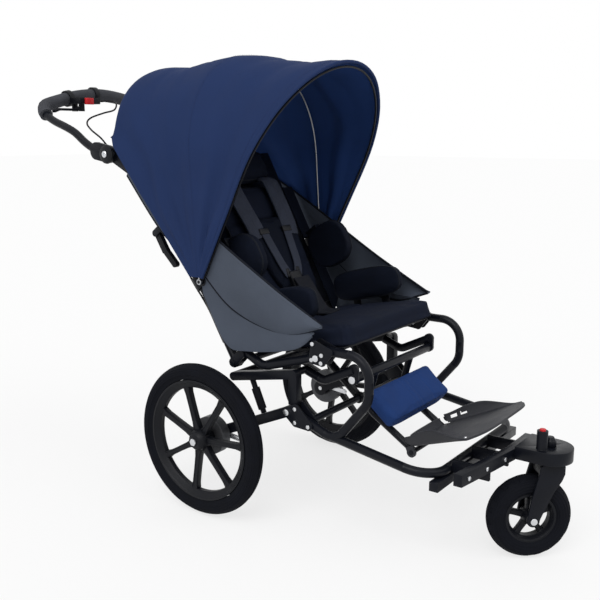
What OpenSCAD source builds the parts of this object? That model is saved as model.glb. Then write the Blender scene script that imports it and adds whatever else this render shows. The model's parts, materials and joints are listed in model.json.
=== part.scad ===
// Special needs buggy: a three-wheeled pushchair with a supportive seat, hood and footplate.
// Millimetres, +Z up, +X forwards. The rear axle lies at x = -mid_x, the floor at z = 0.

/* [Wheels] */
// Outer radius of the rear tyres
rear_wheel_r = 200; // [185:1:215]
// Width of the rear tyres
rear_tyre_w = 44; // [36:1:50]
// Distance between the rear tyres, middle to middle
rear_track = 614; // [600:1:680]
// Radius of the rear rim's flange, where the tyre sits
rim_r = 158; // [150:1:165]
// Depth of the rear rim's ring
rim_depth = 21; // [14:1:26]
// Number of spokes in a rear wheel
spoke_count = 7; // [5:1:9]
// Radius of the rear hub
hub_r = 27; // [22:1:32]
// Radius of the rear axles
axle_r = 6; // [5:0.5:8]
// Outer radius of the caster tyre
caster_r = 100; // [90:1:105]
// Width of the caster tyre
caster_w = 50; // [40:1:54]
// How far the caster axle trails its stem
caster_trail = 42; // [30:1:50]
// Turn of the caster about its stem
caster_turn = 41; // [0:1:60]

/* [Frame] */
// Distance from the rear axle to the caster stem
wheelbase = 797; // [780:1:830]
// Diameter of the frame tubes
tube_d = 22; // [20:0.5:24]
// Distance between the side frames, middle to middle
frame_w = 470; // [460:1:476]
// Thickness of the bracket plates
plate_t = 4; // [3:0.5:5]
// Radius of the pivot bolts
pivot_r = 6; // [5:0.5:7]
// Radius of the caster stem
stem_r = 10; // [8:0.5:11]
// Half width of the caster nose
nose_r = 53; // [48:1:58]
// Height of the caster nose's top face
nose_z = 268; // [264:1:280]

/* [Seat] */
// Width of the seat cushion
cushion_w = 424; // [380:1:430]
// Thickness of the seat cushion
seat_t = 46; // [36:1:50]
// Slope of the seat, front edge up
seat_slope = 10; // [6:0.5:12]
// Thickness of the back cushion
back_t = 40; // [30:1:44]
// Thickness of the thigh and lateral pads
pad_t = 30; // [22:1:32]
// Length of the calf pad across the buggy
calf_w = 290; // [240:1:320]
// Width of the footplate at the toes
toe_w = 330; // [280:1:360]
// Width of the footplate at the heels
heel_w = 204; // [180:1:230]

/* [Hood] */
// Half width of the hood's cloth
hood_y = 275; // [274:0.5:279]
// Height of the hood's ridge
hood_top = 1172; // [1160:1:1185]
// Thickness of the hood's cloth
hood_t = 2.5; // [2:0.1:3]
// Diameter of the hood's bows
bow_d = 6; // [5:0.5:6.4]

/* [Handle] */
// Diameter of the push handle's tube
handle_d = 22; // [20:0.5:24]
// Diameter of the foam grip
grip_d = 38; // [32:1:40]
// Diameter of the brake cable
cable_d = 5; // [4:0.5:6]

/* [Hidden] */
$fn = 48;
// Radial clearance of a shaft in its bore
running = 0.05;
// Gap between pieces that move past each other
gap = 0.3;

// Places below are [x, z] from the rear axle, or [x, y, z]
frame_y = frame_w / 2;
tube_r = tube_d / 2;
plate_in = frame_y - tube_r;
plate_out = frame_y + tube_r;
bolt_head = 4;
rear_y = rear_track / 2;
axle = [0, rear_wheel_r];
hub_out = 26;
hub_in = 28;
nut_h = 6;
axle_end = rear_y + hub_out + 0.5 + nut_h;
stem = [wheelbase, 0];
nose_front = wheelbase + nose_r;
bar_x = -690;
clamp_t = 5;
handle_rear = bar_x - grip_d / 2 - clamp_t;
mid_x = (nose_front + handle_rear) / 2;

// Pivots
arm_pivot = [232, 303];
seat_pivot = [318, 452];
recline_pivot = [62, 400];
legrest_pivot = [385, 398];
foot_pivot = [496, 213];
handle_pivot = [-378, 912];
hood_pivot = [-28, 600];
gas_low = [285, 285];
cross_r = 9;
seat_front = [388, 483];
seat_len = 297;
pan_t = 6;
function seat_under(x) = seat_front[1] - (seat_front[0] - x) * tan(seat_slope) - pan_t / cos(seat_slope);
gas_high = [122, seat_under(122) - cross_r - gap];
seat_cross = [276, seat_under(276) - cross_r - gap];

// Back of the seat: an origin on the back tube and the tube's lean
back_origin = [-40, 570];
back_lean = 39.7;
back_up = [-sin(back_lean), cos(back_lean)];
back_front = [cos(back_lean), sin(back_lean)];
back_crosses = [-60, 150, 360];

// Point on the back, from its height up the tube and its distance in front of it
function on_back(up, front) = back_origin + up * back_up + front * back_front;

// Plane behind the back cushion, which stands more upright than the tubes
rest_origin = [51, 481];
rest_lean = 28.6;
rest_up = [-sin(rest_lean), cos(rest_lean)];
rest_front = [cos(rest_lean), sin(rest_lean)];
function on_rest(up, front) = rest_origin + up * rest_up + front * rest_front;

// Moves children from the rear axle's frame into the part's frame
module placed() {
    translate([-mid_x, 0, 0])
        children();
}

// Left half as drawn, right half mirrored
module both_sides() {
    children();
    mirror([0, 1, 0])
        children();
}

// One side only: 1 is left, -1 is right
module on_side(side) {
    if (side > 0)
        children();
    else
        mirror([0, 1, 0])
            children();
}

// Cylinder along Y through [x, z]
module bar_y(at, r, y0, y1) {
    translate([at[0], y0, at[1]])
        rotate([-90, 0, 0])
            cylinder(r = r, h = y1 - y0);
}

// Flat outline in XZ, given a thickness along Y
module plate_y(y0, y1) {
    translate([0, y1, 0])
        rotate([90, 0, 0])
            linear_extrude(y1 - y0)
                children();
}

// Straight side of a bar. It is a little slimmer than the bar's round ends,
// so that their outlines cross and never merely touch.
waist = 0.3;
module side_2d(a, b, r) {
    half = r - waist;
    translate(a)
        rotate(atan2(b[1] - a[1], b[0] - a[0]))
            translate([0, -half])
                square([norm(b - a), 2 * half]);
}

// Bar with round ends between two points
module link_2d(a, b, r) {
    translate(a)
        circle(r);
    translate(b)
        circle(r);
    side_2d(a, b, r);
}

// Polygon with its corners rounded outwards
module rounded_2d(pts, r) {
    polygon(pts);
    for (i = [0 : len(pts) - 1]) {
        translate(pts[i])
            circle(r);
        side_2d(pts[i], pts[(i + 1) % len(pts)], r);
    }
}

function unit(v) = v / norm(v);
function turn_angle(a, b) = atan2(cross(a, b), a * b);
function heading(p, i) = unit(p[i + 1] - p[i]);
function bend_angle(p, i) = turn_angle(heading(p, i - 1), heading(p, i));
function bend_lead(p, r, i) =
    i == 0 || i == len(p) - 1 ? 0 : r[i - 1] * tan(abs(bend_angle(p, i)) / 2);

// Round tube along a path in the XY plane, with a bend radius at each inner point.
// A thin sleeve closes the seam between a straight run and a bend.
seam = 0.4;
sleeve_l = 2;
sleeve_t = 0.05;
module tube_path(p, r, d) {
    for (i = [0 : len(p) - 2]) {
        dir = heading(p, i);
        from = p[i] + dir * (bend_lead(p, r, i) + (i == 0 ? 0 : seam));
        to = p[i + 1] - dir * (bend_lead(p, r, i + 1) + (i == len(p) - 2 ? 0 : seam));
        translate([from[0], from[1], 0])
            rotate([0, 90, atan2(dir[1], dir[0])])
                cylinder(d = d, h = norm(to - from));
    }
    for (i = [1 : 1 : len(p) - 2]) {
        dir = heading(p, i - 1);
        turn = bend_angle(p, i);
        inward = sign(turn) * [-dir[1], dir[0]];
        from = p[i] - dir * bend_lead(p, r, i);
        centre = from + inward * r[i - 1];
        translate([centre[0], centre[1], 0])
            rotate([0, 0, atan2(-inward[1], -inward[0]) + min(turn, 0)])
                rotate_extrude(angle = abs(turn))
                    translate([r[i - 1], 0])
                        circle(d = d);
        for (way = [-1, 1]) {
            along = heading(p, way < 0 ? i - 1 : i);
            at = p[i] + way * along * bend_lead(p, r, i);
            translate([at[0], at[1], 0])
                rotate([0, 90, atan2(along[1], along[0])])
                    cylinder(d = d + 2 * sleeve_t, h = sleeve_l, center = true);
        }
    }
}

// The same tube stood up in the XZ plane at a given y
module tube_xz(p, r, d, y) {
    translate([0, y, 0])
        rotate([90, 0, 0])
            tube_path(p, r, d);
}

// Points along a smooth curve through p, with k steps between points
function curve_at(a, b, c, d, t) =
    0.5 * (2 * b + (c - a) * t + (2 * a - 5 * b + 4 * c - d) * t * t + (3 * b - a - 3 * c + d) * t * t * t);
function curve(p, k) = concat([for (i = [0 : len(p) - 2], j = [0 : k - 1])
    curve_at(p[max(i - 1, 0)], p[i], p[i + 1], p[min(i + 2, len(p) - 1)], j / k)], [p[len(p) - 1]]);

// Rings of points round a 3-D path, and the triangles between them
function ring_points(p, d, sides, side) =
    let (n = len(p), way = [for (i = [0 : n - 1]) unit(p[min(i + 1, n - 1)] - p[max(i - 1, 0)])],
         across = [for (t = way) unit(cross(side, t))])
    [for (i = [0 : n - 1], j = [0 : sides - 1])
        p[i] + d / 2 * (cos(360 * j / sides) * across[i] + sin(360 * j / sides) * cross(way[i], across[i]))];
function ring_walls(n, sides, start, inward) =
    [for (i = [0 : n - 2], j = [0 : sides - 1], half = [0, 1])
        let (k = (j + 1) % sides, a = start + i * sides, b = a + sides,
             tri = half == 0 ? [a + j, b + j, b + k] : [a + j, b + k, a + k])
        inward ? [tri[0], tri[2], tri[1]] : tri];

// Rod swept along 3-D points; side is any direction that the rod never follows
module swept(p, d, sides, side) {
    n = len(p);
    walls = ring_walls(n, sides, 0, false);
    first = [for (j = [1 : sides - 2]) [0, j, j + 1]];
    last = [for (j = [1 : sides - 2]) let (a = (n - 1) * sides) [a, a + j + 1, a + j]];
    polyhedron(ring_points(p, d, sides, side), concat(walls, first, last));
}

// Sleeve swept the same way, open at both ends round its bore
module swept_sleeve(p, d_out, d_in, sides, side) {
    n = len(p);
    size = n * sides;
    ends = [for (end = [0, n - 1], j = [0 : sides - 1], half = [0, 1])
        let (a = end * sides + j, b = end * sides + (j + 1) % sides,
             tri = half == 0 ? [a, b, b + size] : [a, b + size, a + size])
        end == 0 ? tri : [tri[0], tri[2], tri[1]]];
    polyhedron(concat(ring_points(p, d_out, sides, side), ring_points(p, d_in, sides, side)),
               concat(ring_walls(n, sides, 0, false), ring_walls(n, sides, size, true), ends));
}

// Closed solid between two grids of points, the outer one first
module between_grids(outer, inner) {
    n = len(outer);
    m = len(outer[0]);
    size = n * m;
    points = concat([for (row = outer) each row], [for (row = inner) each row]);
    skins = [for (i = [0 : n - 2], j = [0 : m - 2], half = [0, 1], inside = [0, 1])
        let (a = i * m + j + inside * size, b = a + 1, c = a + m, e = c + 1,
             tri = half == 0 ? [a, b, e] : [a, e, c])
        inside == 0 ? tri : [tri[0], tri[2], tri[1]]];
    rim = concat(
        [for (j = [0 : m - 1]) j],
        [for (i = [1 : n - 1]) i * m + m - 1],
        [for (j = [m - 2 : -1 : 0]) (n - 1) * m + j],
        [for (i = [n - 2 : -1 : 1]) i * m]);
    edges = [for (i = [0 : len(rim) - 1], half = [0, 1])
        let (a = rim[i], b = rim[(i + 1) % len(rim)])
        half == 0 ? [b, a, a + size] : [b, a + size, b + size]];
    polyhedron(points, concat(skins, edges));
}

// Stuffed cushion, flat underneath: crowned top, thin edge, sides drawn in between the corners
module cushion(l, w, t, edge, draw, nu, nv) {
    function wide(u, v) = [l / 2 * u * (1 - draw * (1 - v * v)), w / 2 * v * (1 - draw * (1 - u * u))];
    function swell(u, v) = edge + (1 - edge) * pow((1 - pow(u, 6)) * (1 - pow(v, 6)), 0.6);
    function grid(top) = [for (i = [0 : nu]) [for (j = [0 : nv])
        let (u = 2 * i / nu - 1, v = 2 * j / nv - 1, at = wide(u, v))
        [at[0], at[1], top ? t * swell(u, v) : 0]]];
    between_grids([for (row = grid(true)) [for (j = [nv : -1 : 0]) row[j]]],
                  [for (row = grid(false)) [for (j = [nv : -1 : 0]) row[j]]]);
}

// Rear wheel
module tyre(side) {
    bead_w = rear_tyre_w * 0.76;
    core_r = rear_wheel_r - rear_tyre_w / 2;
    color("#26282c")
        placed()
            on_side(side)
                translate([axle[0], rear_y, axle[1]])
                    rotate([90, 0, 0])
                        rotate_extrude()
                            intersection() {
                                union() {
                                    translate([core_r, 0])
                                        circle(rear_tyre_w / 2);
                                    translate([rim_r, -bead_w / 2])
                                        square([core_r - rim_r, bead_w]);
                                }
                                translate([rim_r, -rear_tyre_w])
                                    square([rear_tyre_w * 2, rear_tyre_w * 2]);
                            }
}

// One spoke's outline, from the hub to the rim's ring
module spoke_2d(from, to, root, tip) {
    polygon([[from, -root / 2], [to, -tip / 2], [to, tip / 2], [from, root / 2]]);
}

module rim(side) {
    ring_w = rear_tyre_w * 0.76;
    inner_r = rim_r - rim_depth;
    spoke_t = 18;
    spoke_root = 22;
    spoke_tip = 15;
    first_spoke = 4.3;
    color("#1b1c1f")
        placed()
            on_side(side)
                translate([axle[0], rear_y, axle[1]])
                    rotate([90, 0, 0])
                        difference() {
                            union() {
                                rotate_extrude()
                                    translate([inner_r, -ring_w / 2])
                                        square([rim_depth, ring_w]);
                                translate([0, 0, -hub_out])
                                    cylinder(r = hub_r, h = hub_out + hub_in);
                                for (i = [0 : spoke_count - 1])
                                    rotate([0, 0, first_spoke + 360 * i / spoke_count])
                                        translate([0, 0, -spoke_t / 2])
                                            linear_extrude(spoke_t)
                                                spoke_2d(hub_r - 6, inner_r + 4, spoke_root, spoke_tip);
                            }
                            translate([0, 0, -40])
                                cylinder(r = axle_r + running, h = 80);
                        }
}

// Fixed axle with its outer nut
module wheel_axle(side) {
    color("#b9bcc0")
        placed()
            on_side(side) {
                bar_y(axle, axle_r, frame_y - 7, axle_end - nut_h);
                translate([axle[0], axle_end - nut_h, axle[1]])
                    rotate([-90, 0, 0])
                        cylinder(r = axle_r + 4, h = nut_h, $fn = 6);
            }
}

// Suspension arm between the lower plates, from its pivot to the axle
arm_in = frame_y - 7;
arm_out = frame_y + 8.5;
arm_h = 26;
arm_dir = unit(axle - arm_pivot);
arm_tilt = atan2(arm_dir[1], arm_dir[0]);

module swing_arm(side) {
    color("#1d1e21")
        placed()
            on_side(side)
                difference() {
                    union() {
                        bar_y(arm_pivot, 14, plate_in + gap, plate_out - gap);
                        bar_y(axle, 22, arm_in, plate_out + 4);
                        plate_y(arm_in, arm_out)
                            link_2d(arm_pivot, axle, arm_h / 2);
                    }
                    bar_y(arm_pivot, pivot_r + running, plate_in - 1, plate_out + 1);
                    bar_y(axle, axle_r, arm_in - 1, plate_out + 5);
                }
}

drum_in = plate_out + 4;
drum_out = rear_y - hub_in - 1;
cam = [38, rear_wheel_r + 3];
cam_r = 5;

module drum_brake(side) {
    color("#2a2b2e")
        placed()
            on_side(side)
                difference() {
                    bar_y(axle, 50, drum_in, drum_out);
                    bar_y(axle, axle_r, drum_in - 1, drum_out + 1);
                    bar_y(cam, cam_r + running, drum_in - 1, drum_in + 14);
                }
}

// Lever that the brake cable pulls, on its cam spindle
module brake_arm(side) {
    tip = cam + [40, -4];
    color("#c3c6ca")
        placed()
            on_side(side) {
                bar_y(cam, cam_r, arm_out + 1.2, drum_in + 13);
                plate_y(arm_out + 1.2, drum_in - 1.2)
                    link_2d(cam, tip, 7);
            }
}

// Rubber strut between the suspension arm and the rear beam
strut_low = arm_pivot + 84 * arm_dir + (arm_h / 2 + gap) * [-arm_dir[1], arm_dir[0]] * -1;
beam_front = [246, 398];
beam_rear = [58, 362];
beam_t = 22;
beam_dir = unit(beam_rear - beam_front);

module strut(side) {
    reach = 110;
    color("#17181a")
        placed()
            on_side(side)
                difference() {
                    translate([strut_low[0], frame_y, strut_low[1]])
                        rotate([0, -arm_tilt - 180, 0]) {
                            cylinder(r = 7, h = reach);
                            translate([0, 0, 10])
                                cylinder(r = 10.5, h = 56);
                        }
                    plate_y(frame_y - beam_t, frame_y + beam_t)
                        beam_cut_2d();
                }
}

// Everything above the underside of the rear beam
module beam_cut_2d() {
    translate(beam_front)
        rotate(atan2(beam_dir[1], beam_dir[0]))
            translate([-50, -200])
                square([400, 200 + beam_t / 2]);
}

// Side frame
hoop_path = [[338, 470], [455, 470], [455, 365], [365, 255], [255, 297]];
hoop_bends = [55, 60, 45];

module side_hoops() {
    color("#1f2023")
        placed()
            both_sides()
                tube_xz(hoop_path, hoop_bends, tube_d, frame_y);
}

upper_plate = [[312, 484], [307, 447], [334, 444], [354, 470]];
lower_plate = [[258, 316], arm_pivot, [258, 282], [295, 280]];

module frame_plates() {
    color("#232427")
        placed()
            both_sides()
                difference() {
                    for (y = [plate_in - plate_t, plate_out])
                        plate_y(y, y + plate_t) {
                            rounded_2d(upper_plate, 10);
                            rounded_2d(lower_plate, 12);
                        }
                    for (at = [seat_pivot, arm_pivot])
                        bar_y(at, pivot_r, plate_in - plate_t - 1, plate_out + plate_t + 1);
                }
}

// Lower tube: two legs joined in front by a cross part, in one sloping plane
lower_start = [352, 264];
lower_slope = 8.9;
lower_len = wheelbase - 527;
lower_bend = 70;
lower_cross = lower_start + lower_len * [cos(lower_slope), -sin(lower_slope)];

module lower_frame() {
    color("#1f2023")
        placed()
            translate([lower_start[0], 0, lower_start[1]])
                rotate([0, lower_slope, 0])
                    tube_path([[0, -frame_y], [lower_len, -frame_y], [lower_len, frame_y], [0, frame_y]],
                              [lower_bend, lower_bend], tube_d);
}

// Rear beams with their posts
module rear_arms() {
    post_w = 24;
    color("#202124")
        placed()
            both_sides()
                plate_y(frame_y - beam_t / 2, frame_y + beam_t / 2) {
                    translate([beam_front[0] - post_w / 2, 322])
                        square([post_w, beam_front[1] - 322]);
                    link_2d(beam_front, beam_rear, beam_t / 2);
                }
}

cross_low_d = 18;
module cross_tubes() {
    color("#1f2023")
        placed() {
            bar_y(gas_low, cross_low_d / 2, -plate_in + plate_t, plate_in - plate_t);
            bar_y(beam_rear, tube_r, -frame_y + beam_t / 2, frame_y - beam_t / 2);
        }
}

// Rails under the seat that carry the leg rest
rail_y = 190;
rail_path = [[246, 400], [300, 380], legrest_pivot + [0, 24]];

module legrest_rails() {
    lug_r = 13;
    color("#1f2023")
        placed()
            both_sides()
                difference() {
                    union() {
                        tube_xz(rail_path, [30], tube_d, rail_y);
                        bar_y(rail_path[0], 9, rail_y, frame_y - beam_t / 2);
                        plate_y(rail_y - 5, rail_y + 5)
                            link_2d(legrest_pivot, rail_path[2], lug_r);
                    }
                    bar_y(legrest_pivot, pivot_r, rail_y - 20, rail_y + 20);
                }
}

// Cross beam in front, swept back on the right, with its arms to the lower tube
beam_join = [stem[0] - 63, nose_r - 4];
beam_tip = [stem[0] - 94, 262];
beam_h = 28;
beam_depth = 20;

module caster_beam() {
    low = nose_z - nose_t - beam_h;
    arm_t = 8;
    join = beam_join;
    stub = 14;
    color("#1e1f22")
        placed() {
            translate([0, 0, low])
                linear_extrude(beam_h)
                    polygon([
                        [beam_tip[0], -beam_tip[1]], [join[0], -join[1]], [join[0], join[1] + stub],
                        [join[0] - beam_depth, join[1] + stub], [join[0] - beam_depth, -join[1]],
                        [beam_tip[0] - beam_depth, -beam_tip[1]]
                    ]);
            for (y = [-150, -45, 45])
                translate([lower_cross[0] + tube_r - 2, y - arm_t / 2, low - 20])
                    cube([join[0] - 16 - lower_cross[0] - tube_r + 2, arm_t, 30]);
            translate([lower_cross[0] - tube_r, -frame_y + 10, lower_cross[1] - 3 * tube_r])
                cube([tube_d, frame_w - 20, tube_d]);
        }
}

// Nose plate with a folded edge, and the housing of the caster stem
module nose_2d(r) {
    translate(stem)
        circle(r);
    translate([beam_join[0], -r])
        square([stem[0] - beam_join[0], 2 * r]);
}

nose_t = 6;
nose_h = 30;
housing_r = 21;
lock_at = [stem[0] - 8, -31];
lock_r = 12.5;
lock_h = 44;
button_r = 7;

module caster_nose() {
    edge_t = 4;
    color("#1e1f22")
        placed()
            difference() {
                union() {
                    translate([0, 0, nose_z - nose_t])
                        linear_extrude(nose_t)
                            nose_2d(nose_r);
                    translate([0, 0, nose_z - nose_h])
                        linear_extrude(nose_h - nose_t)
                            difference() {
                                nose_2d(nose_r);
                                nose_2d(nose_r - edge_t);
                            }
                    translate([stem[0], stem[1], nose_z - nose_h])
                        cylinder(r = housing_r, h = nose_h - nose_t / 2);
                    translate([lock_at[0], lock_at[1], nose_z - nose_t / 2])
                        cylinder(r = lock_r, h = lock_h + nose_t / 2);
                }
                translate([stem[0], stem[1], nose_z - nose_h - 1])
                    cylinder(r = stem_r + running, h = nose_h + 2);
                translate([lock_at[0], lock_at[1], nose_z + lock_h - 16])
                    cylinder(r = button_r + running, h = 17);
            }
}

module lock_button() {
    color("#c0282d")
        placed()
            translate([lock_at[0], lock_at[1], nose_z + lock_h - 10])
                cylinder(r = button_r, h = 14);
}

// Bolts: through the side plates, through the leg rest pivot and along the front beam
module frame_bolts() {
    pins = [seat_pivot, arm_pivot];
    screws = [[309, 486], [307, 447], [335, 462], [334, 443], [258, 316], [258, 282], [297, 279]];
    beam_bolts = [0.12, 0.45, 0.8];
    color("#c9ccd0")
        placed() {
            both_sides() {
                for (at = pins) {
                    bar_y(at, pivot_r, plate_in - plate_t, plate_out + plate_t);
                    bar_y(at, pivot_r + 2, plate_out + plate_t, plate_out + plate_t + bolt_head);
                }
                for (at = screws)
                    bar_y(at, 5, plate_out + plate_t, plate_out + plate_t + bolt_head);
                bar_y(legrest_pivot, pivot_r, legrest_y - 12, rail_y + 9);
                bar_y(legrest_pivot, pivot_r + 3, rail_y + 5, rail_y + 9);
            }
            mirror([0, 1, 0])
                for (share = beam_bolts) {
                    at = beam_tip + share * (beam_join - beam_tip);
                    translate([at[0], at[1], nose_z - nose_t - beam_h / 2])
                        rotate([0, 90, atan2(beam_tip[1] - beam_join[1], beam_tip[0] - beam_join[0]) - 90])
                            cylinder(r = 5, h = 3);
                }
        }
}

// Caster: children are drawn with the stem at the origin and the wheel behind it
module at_caster() {
    placed()
        translate([stem[0], stem[1], 0])
            rotate([0, 0, caster_turn])
                children();
}

caster_axle_r = 5;
leg_in = caster_w / 2 + 3;
leg_t = 8;
hub_half = leg_in - gap;

module caster_fork() {
    crown_top = nose_z - nose_h - gap;
    crown_low = caster_r * 2 + 6;
    wheel = [-caster_trail, caster_r];
    cap_r = stem_r + 4;
    color("#1b1c1f")
        at_caster()
            difference() {
                union() {
                    translate([0, 0, crown_low])
                        cylinder(r = housing_r + 3, h = crown_top - crown_low);
                    translate([0, 0, crown_top - 1])
                        cylinder(r = stem_r, h = nose_z + 6 - crown_top);
                    translate([0, 0, nose_z + gap])
                        cylinder(r = cap_r, h = 13);
                    translate([0, 0, nose_z + gap + 12.5])
                        cylinder(r1 = cap_r - 1, r2 = cap_r - 6, h = 9);
                    translate([-28, -leg_in - leg_t, crown_low])
                        cube([50, 2 * (leg_in + leg_t), crown_top - crown_low - 4]);
                    both_sides()
                        plate_y(leg_in, leg_in + leg_t)
                            rounded_2d([wheel, [wheel[0] + 18, wheel[1] + 40], [10, crown_low + 10],
                                        [-14, crown_low + 10]], 12);
                }
                bar_y(wheel, caster_axle_r, -leg_in - leg_t - 1, leg_in + leg_t + 1);
            }
}

module caster_axle() {
    color("#c9ccd0")
        at_caster()
            both_sides() {
                bar_y([-caster_trail, caster_r], caster_axle_r, 0, leg_in + leg_t);
                bar_y([-caster_trail, caster_r], caster_axle_r + 3, leg_in + leg_t, leg_in + leg_t + 4);
            }
}

caster_rim_r = 60;
module caster_tyre() {
    color("#26282c")
        at_caster()
            translate([-caster_trail, 0, caster_r])
                rotate([90, 0, 0])
                    rotate_extrude()
                        intersection() {
                            translate([caster_r - caster_w / 2, 0])
                                circle(caster_w / 2);
                            translate([caster_rim_r, -caster_w])
                                square([caster_w * 2, caster_w * 2]);
                        }
}

module caster_rim() {
    ring_w = caster_w * 0.56;
    color("#1b1c1f")
        at_caster()
            translate([-caster_trail, 0, caster_r])
                rotate([90, 0, 0])
                    difference() {
                        union() {
                            rotate_extrude()
                                translate([caster_rim_r - 14, -ring_w / 2])
                                    square([14, ring_w]);
                            translate([0, 0, -hub_half])
                                cylinder(r = 13, h = 2 * hub_half);
                            for (i = [0 : 4])
                                rotate([0, 0, 72 * i + 20])
                                    translate([8, -7, -8])
                                        cube([caster_rim_r - 18, 14, 16]);
                        }
                        translate([0, 0, -caster_w])
                            cylinder(r = caster_axle_r + running, h = 2 * caster_w);
                    }
}

// Seat frame, which tilts on the side plates
seat_tube_path = [seat_pivot, [150, 402], [88, 432]];
hinge_plate_r = 12;

module seat_frame() {
    hinge_out = plate_out + plate_t;
    color("#202124")
        placed() {
            both_sides()
                difference() {
                    union() {
                        tube_xz(seat_tube_path, [45], tube_d, frame_y);
                        bar_y(seat_pivot, 14, plate_in + gap, plate_out - gap);
                        for (y = [plate_in - plate_t, plate_out])
                            plate_y(y, y + plate_t)
                                link_2d([86, 424], recline_pivot, hinge_plate_r);
                        bar_y(recline_pivot, pivot_r, plate_in - plate_t, hinge_out);
                        bar_y(recline_pivot, pivot_r + 2, hinge_out, hinge_out + bolt_head);
                    }
                    bar_y(seat_pivot, pivot_r + running, plate_in - 1, plate_out + 1);
                }
            for (at = [gas_high, seat_cross])
                bar_y(at, cross_r, -frame_y, frame_y);
        }
}

// Seat board and cushion: drawn flat with the front edge at x = 0, then sloped
module on_seat() {
    placed()
        translate([seat_front[0], 0, seat_front[1]])
            rotate([0, -seat_slope, 0])
                children();
}

module seat_pan() {
    strip_y = thigh_in + pad_t + gap;
    pan_w = 2 * (strip_y + 1);
    eye_x = (gas_high[0] - seat_front[0]) / cos(seat_slope);
    slot_w = 2 * gas_eye + 14;
    color("#202124")
        on_seat() {
            difference() {
                translate([-seat_len + 6, -pan_w / 2, -pan_t])
                    cube([seat_len - 20, pan_w, pan_t]);
                translate([eye_x - slot_w / 2, -slot_w / 4, -pan_t - 1])
                    cube([slot_w, slot_w / 2, pan_t + 2]);
            }
            both_sides()
                for (x = [-245, -150])
                    translate([x - 12, strip_y, -pan_t])
                        cube([24, strip_t, 112]);
        }
}

module seat_cushion() {
    color("#191c24")
        on_seat()
            translate([-seat_len / 2, 0, gap])
                cushion(seat_len, cushion_w, seat_t, 0.35, 0.03, 14, 14);
}

// Upright pads along both thighs
thigh_at = [179, 551];
thigh_in = plate_in - 38;
module thigh_pads() {
    color("#191c24")
        placed()
            both_sides()
                translate([thigh_at[0], thigh_in + pad_t, thigh_at[1]])
                    rotate([90, -14, 0])
                        cushion(224, 92, pad_t, 0.4, 0.06, 10, 6);
}

// Gas spring that raises the back of the seat
gas_dir = unit(gas_high - gas_low);
gas_len = norm(gas_high - gas_low);
gas_tilt = atan2(gas_dir[1], gas_dir[0]);
gas_eye = 14;
module along_gas() {
    placed()
        translate([gas_low[0], 0, gas_low[1]])
            rotate([0, 90 - gas_tilt, 0])
                children();
}

module gas_cylinder() {
    body_len = 118;
    color("#2b2d31")
        along_gas()
            difference() {
                union() {
                    bar_y([0, 0], gas_eye, -8, 8);
                    translate([0, 0, 12])
                        cylinder(r = 11, h = body_len);
                }
                bar_y([0, 0], cross_low_d / 2 + running, -9, 9);
                translate([0, 0, 24])
                    cylinder(r = 4 + running, h = body_len);
            }
}

module gas_rod() {
    open_pivot = 1.6;
    color("#d2d4d8")
        along_gas()
            difference() {
                union() {
                    translate([0, 0, 40])
                        cylinder(r = 4, h = gas_len - 50);
                    bar_y([0, gas_len], gas_eye, -7, 7);
                }
                bar_y([0, gas_len], cross_r + open_pivot, -8, 8);
            }
}

// Leg rest: two legs hung from the rails, bent forwards to the footplate
legrest_y = 88;
leg_d = 18;
leg_path = [legrest_pivot, [358, 300], foot_pivot];
module legrest_frame() {
    color("#1f2023")
        difference() {
            union() {
                placed() {
                    both_sides()
                        tube_xz(leg_path, [40], leg_d, legrest_y);
                    bar_y(legrest_pivot, 11, -rail_y + 5.3, rail_y - 5.3);
                    bar_y(foot_pivot, pivot_r, -legrest_y - 16, legrest_y + 16);
                }
                both_sides()
                    on_calf()
                        translate([0, legrest_y, -calf_t - gap - 32])
                            cylinder(r = 7, h = 32);
            }
            placed()
                bar_y(legrest_pivot, pivot_r + running, -rail_y, rail_y);
        }
}

// Children drawn with the calf pad's front face at z = 0
module on_calf() {
    placed()
        translate([calf_face[0], 0, calf_face[1]])
            rotate([0, calf_slope, 0])
                children();
}

calf_face = [441.5, 335];
calf_slope = 40.3;
calf_len = 100;
calf_t = 36;
module calf_pad() {
    color("#2c4377")
        on_calf()
            translate([0, 0, -calf_t])
                cushion(calf_len, calf_w, calf_t, 0.45, 0.03, 10, 14);
}

// Footplate: a tray that widens to the toes, walled at the heels, turning on the leg rest's foot
foot_slope = 23;
foot_len = 224;
foot_t = 7;
module footplate() {
    wall = 4;
    wall_h = 30;
    lug = 12;
    floor_z = 12;
    heel = heel_w / 2;
    toe = toe_w / 2;
    leg_out = legrest_y + leg_d / 2 + 0.4;
    leg_side = legrest_y - leg_d / 2 - 3;
    color("#343639")
        placed()
            translate([foot_pivot[0], 0, foot_pivot[1]])
                rotate([0, -foot_slope, 0])
                    difference() {
                        union() {
                            translate([0, 0, floor_z])
                                linear_extrude(foot_t)
                                    polygon([[-4, -heel], [foot_len - 30, -toe], [foot_len, -toe + 50],
                                             [foot_len, toe - 50], [foot_len - 30, toe], [-4, heel]]);
                            translate([-4, -heel, floor_z + foot_t - 1])
                                cube([wall, heel_w, wall_h + 1]);
                            both_sides()
                                side_wall(heel, toe, wall, wall_h, floor_z + foot_t - 1);
                            both_sides()
                                plate_y(leg_out, leg_out + 5.5) {
                                    circle(lug);
                                    translate([-lug, 0])
                                        square([2 * lug, floor_z + 2]);
                                }
                        }
                        bar_y([0, 0], pivot_r + running, -toe, toe);
                        both_sides()
                            translate([-10, leg_side, floor_z - 6])
                                cube([26, leg_out - leg_side, wall_h + 20]);
                    }
}

// Side wall of the footplate, which fades out towards the toes
module side_wall(heel, toe, wall, wall_h, z) {
    run = 130;
    slope = atan2(toe - heel, foot_len - 26);
    translate([-4, heel, z])
        rotate([90, 0, slope])
            linear_extrude(wall)
                polygon([[0, 0], [run, 0], [run, 6], [40, wall_h], [0, wall_h]]);
}

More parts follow.
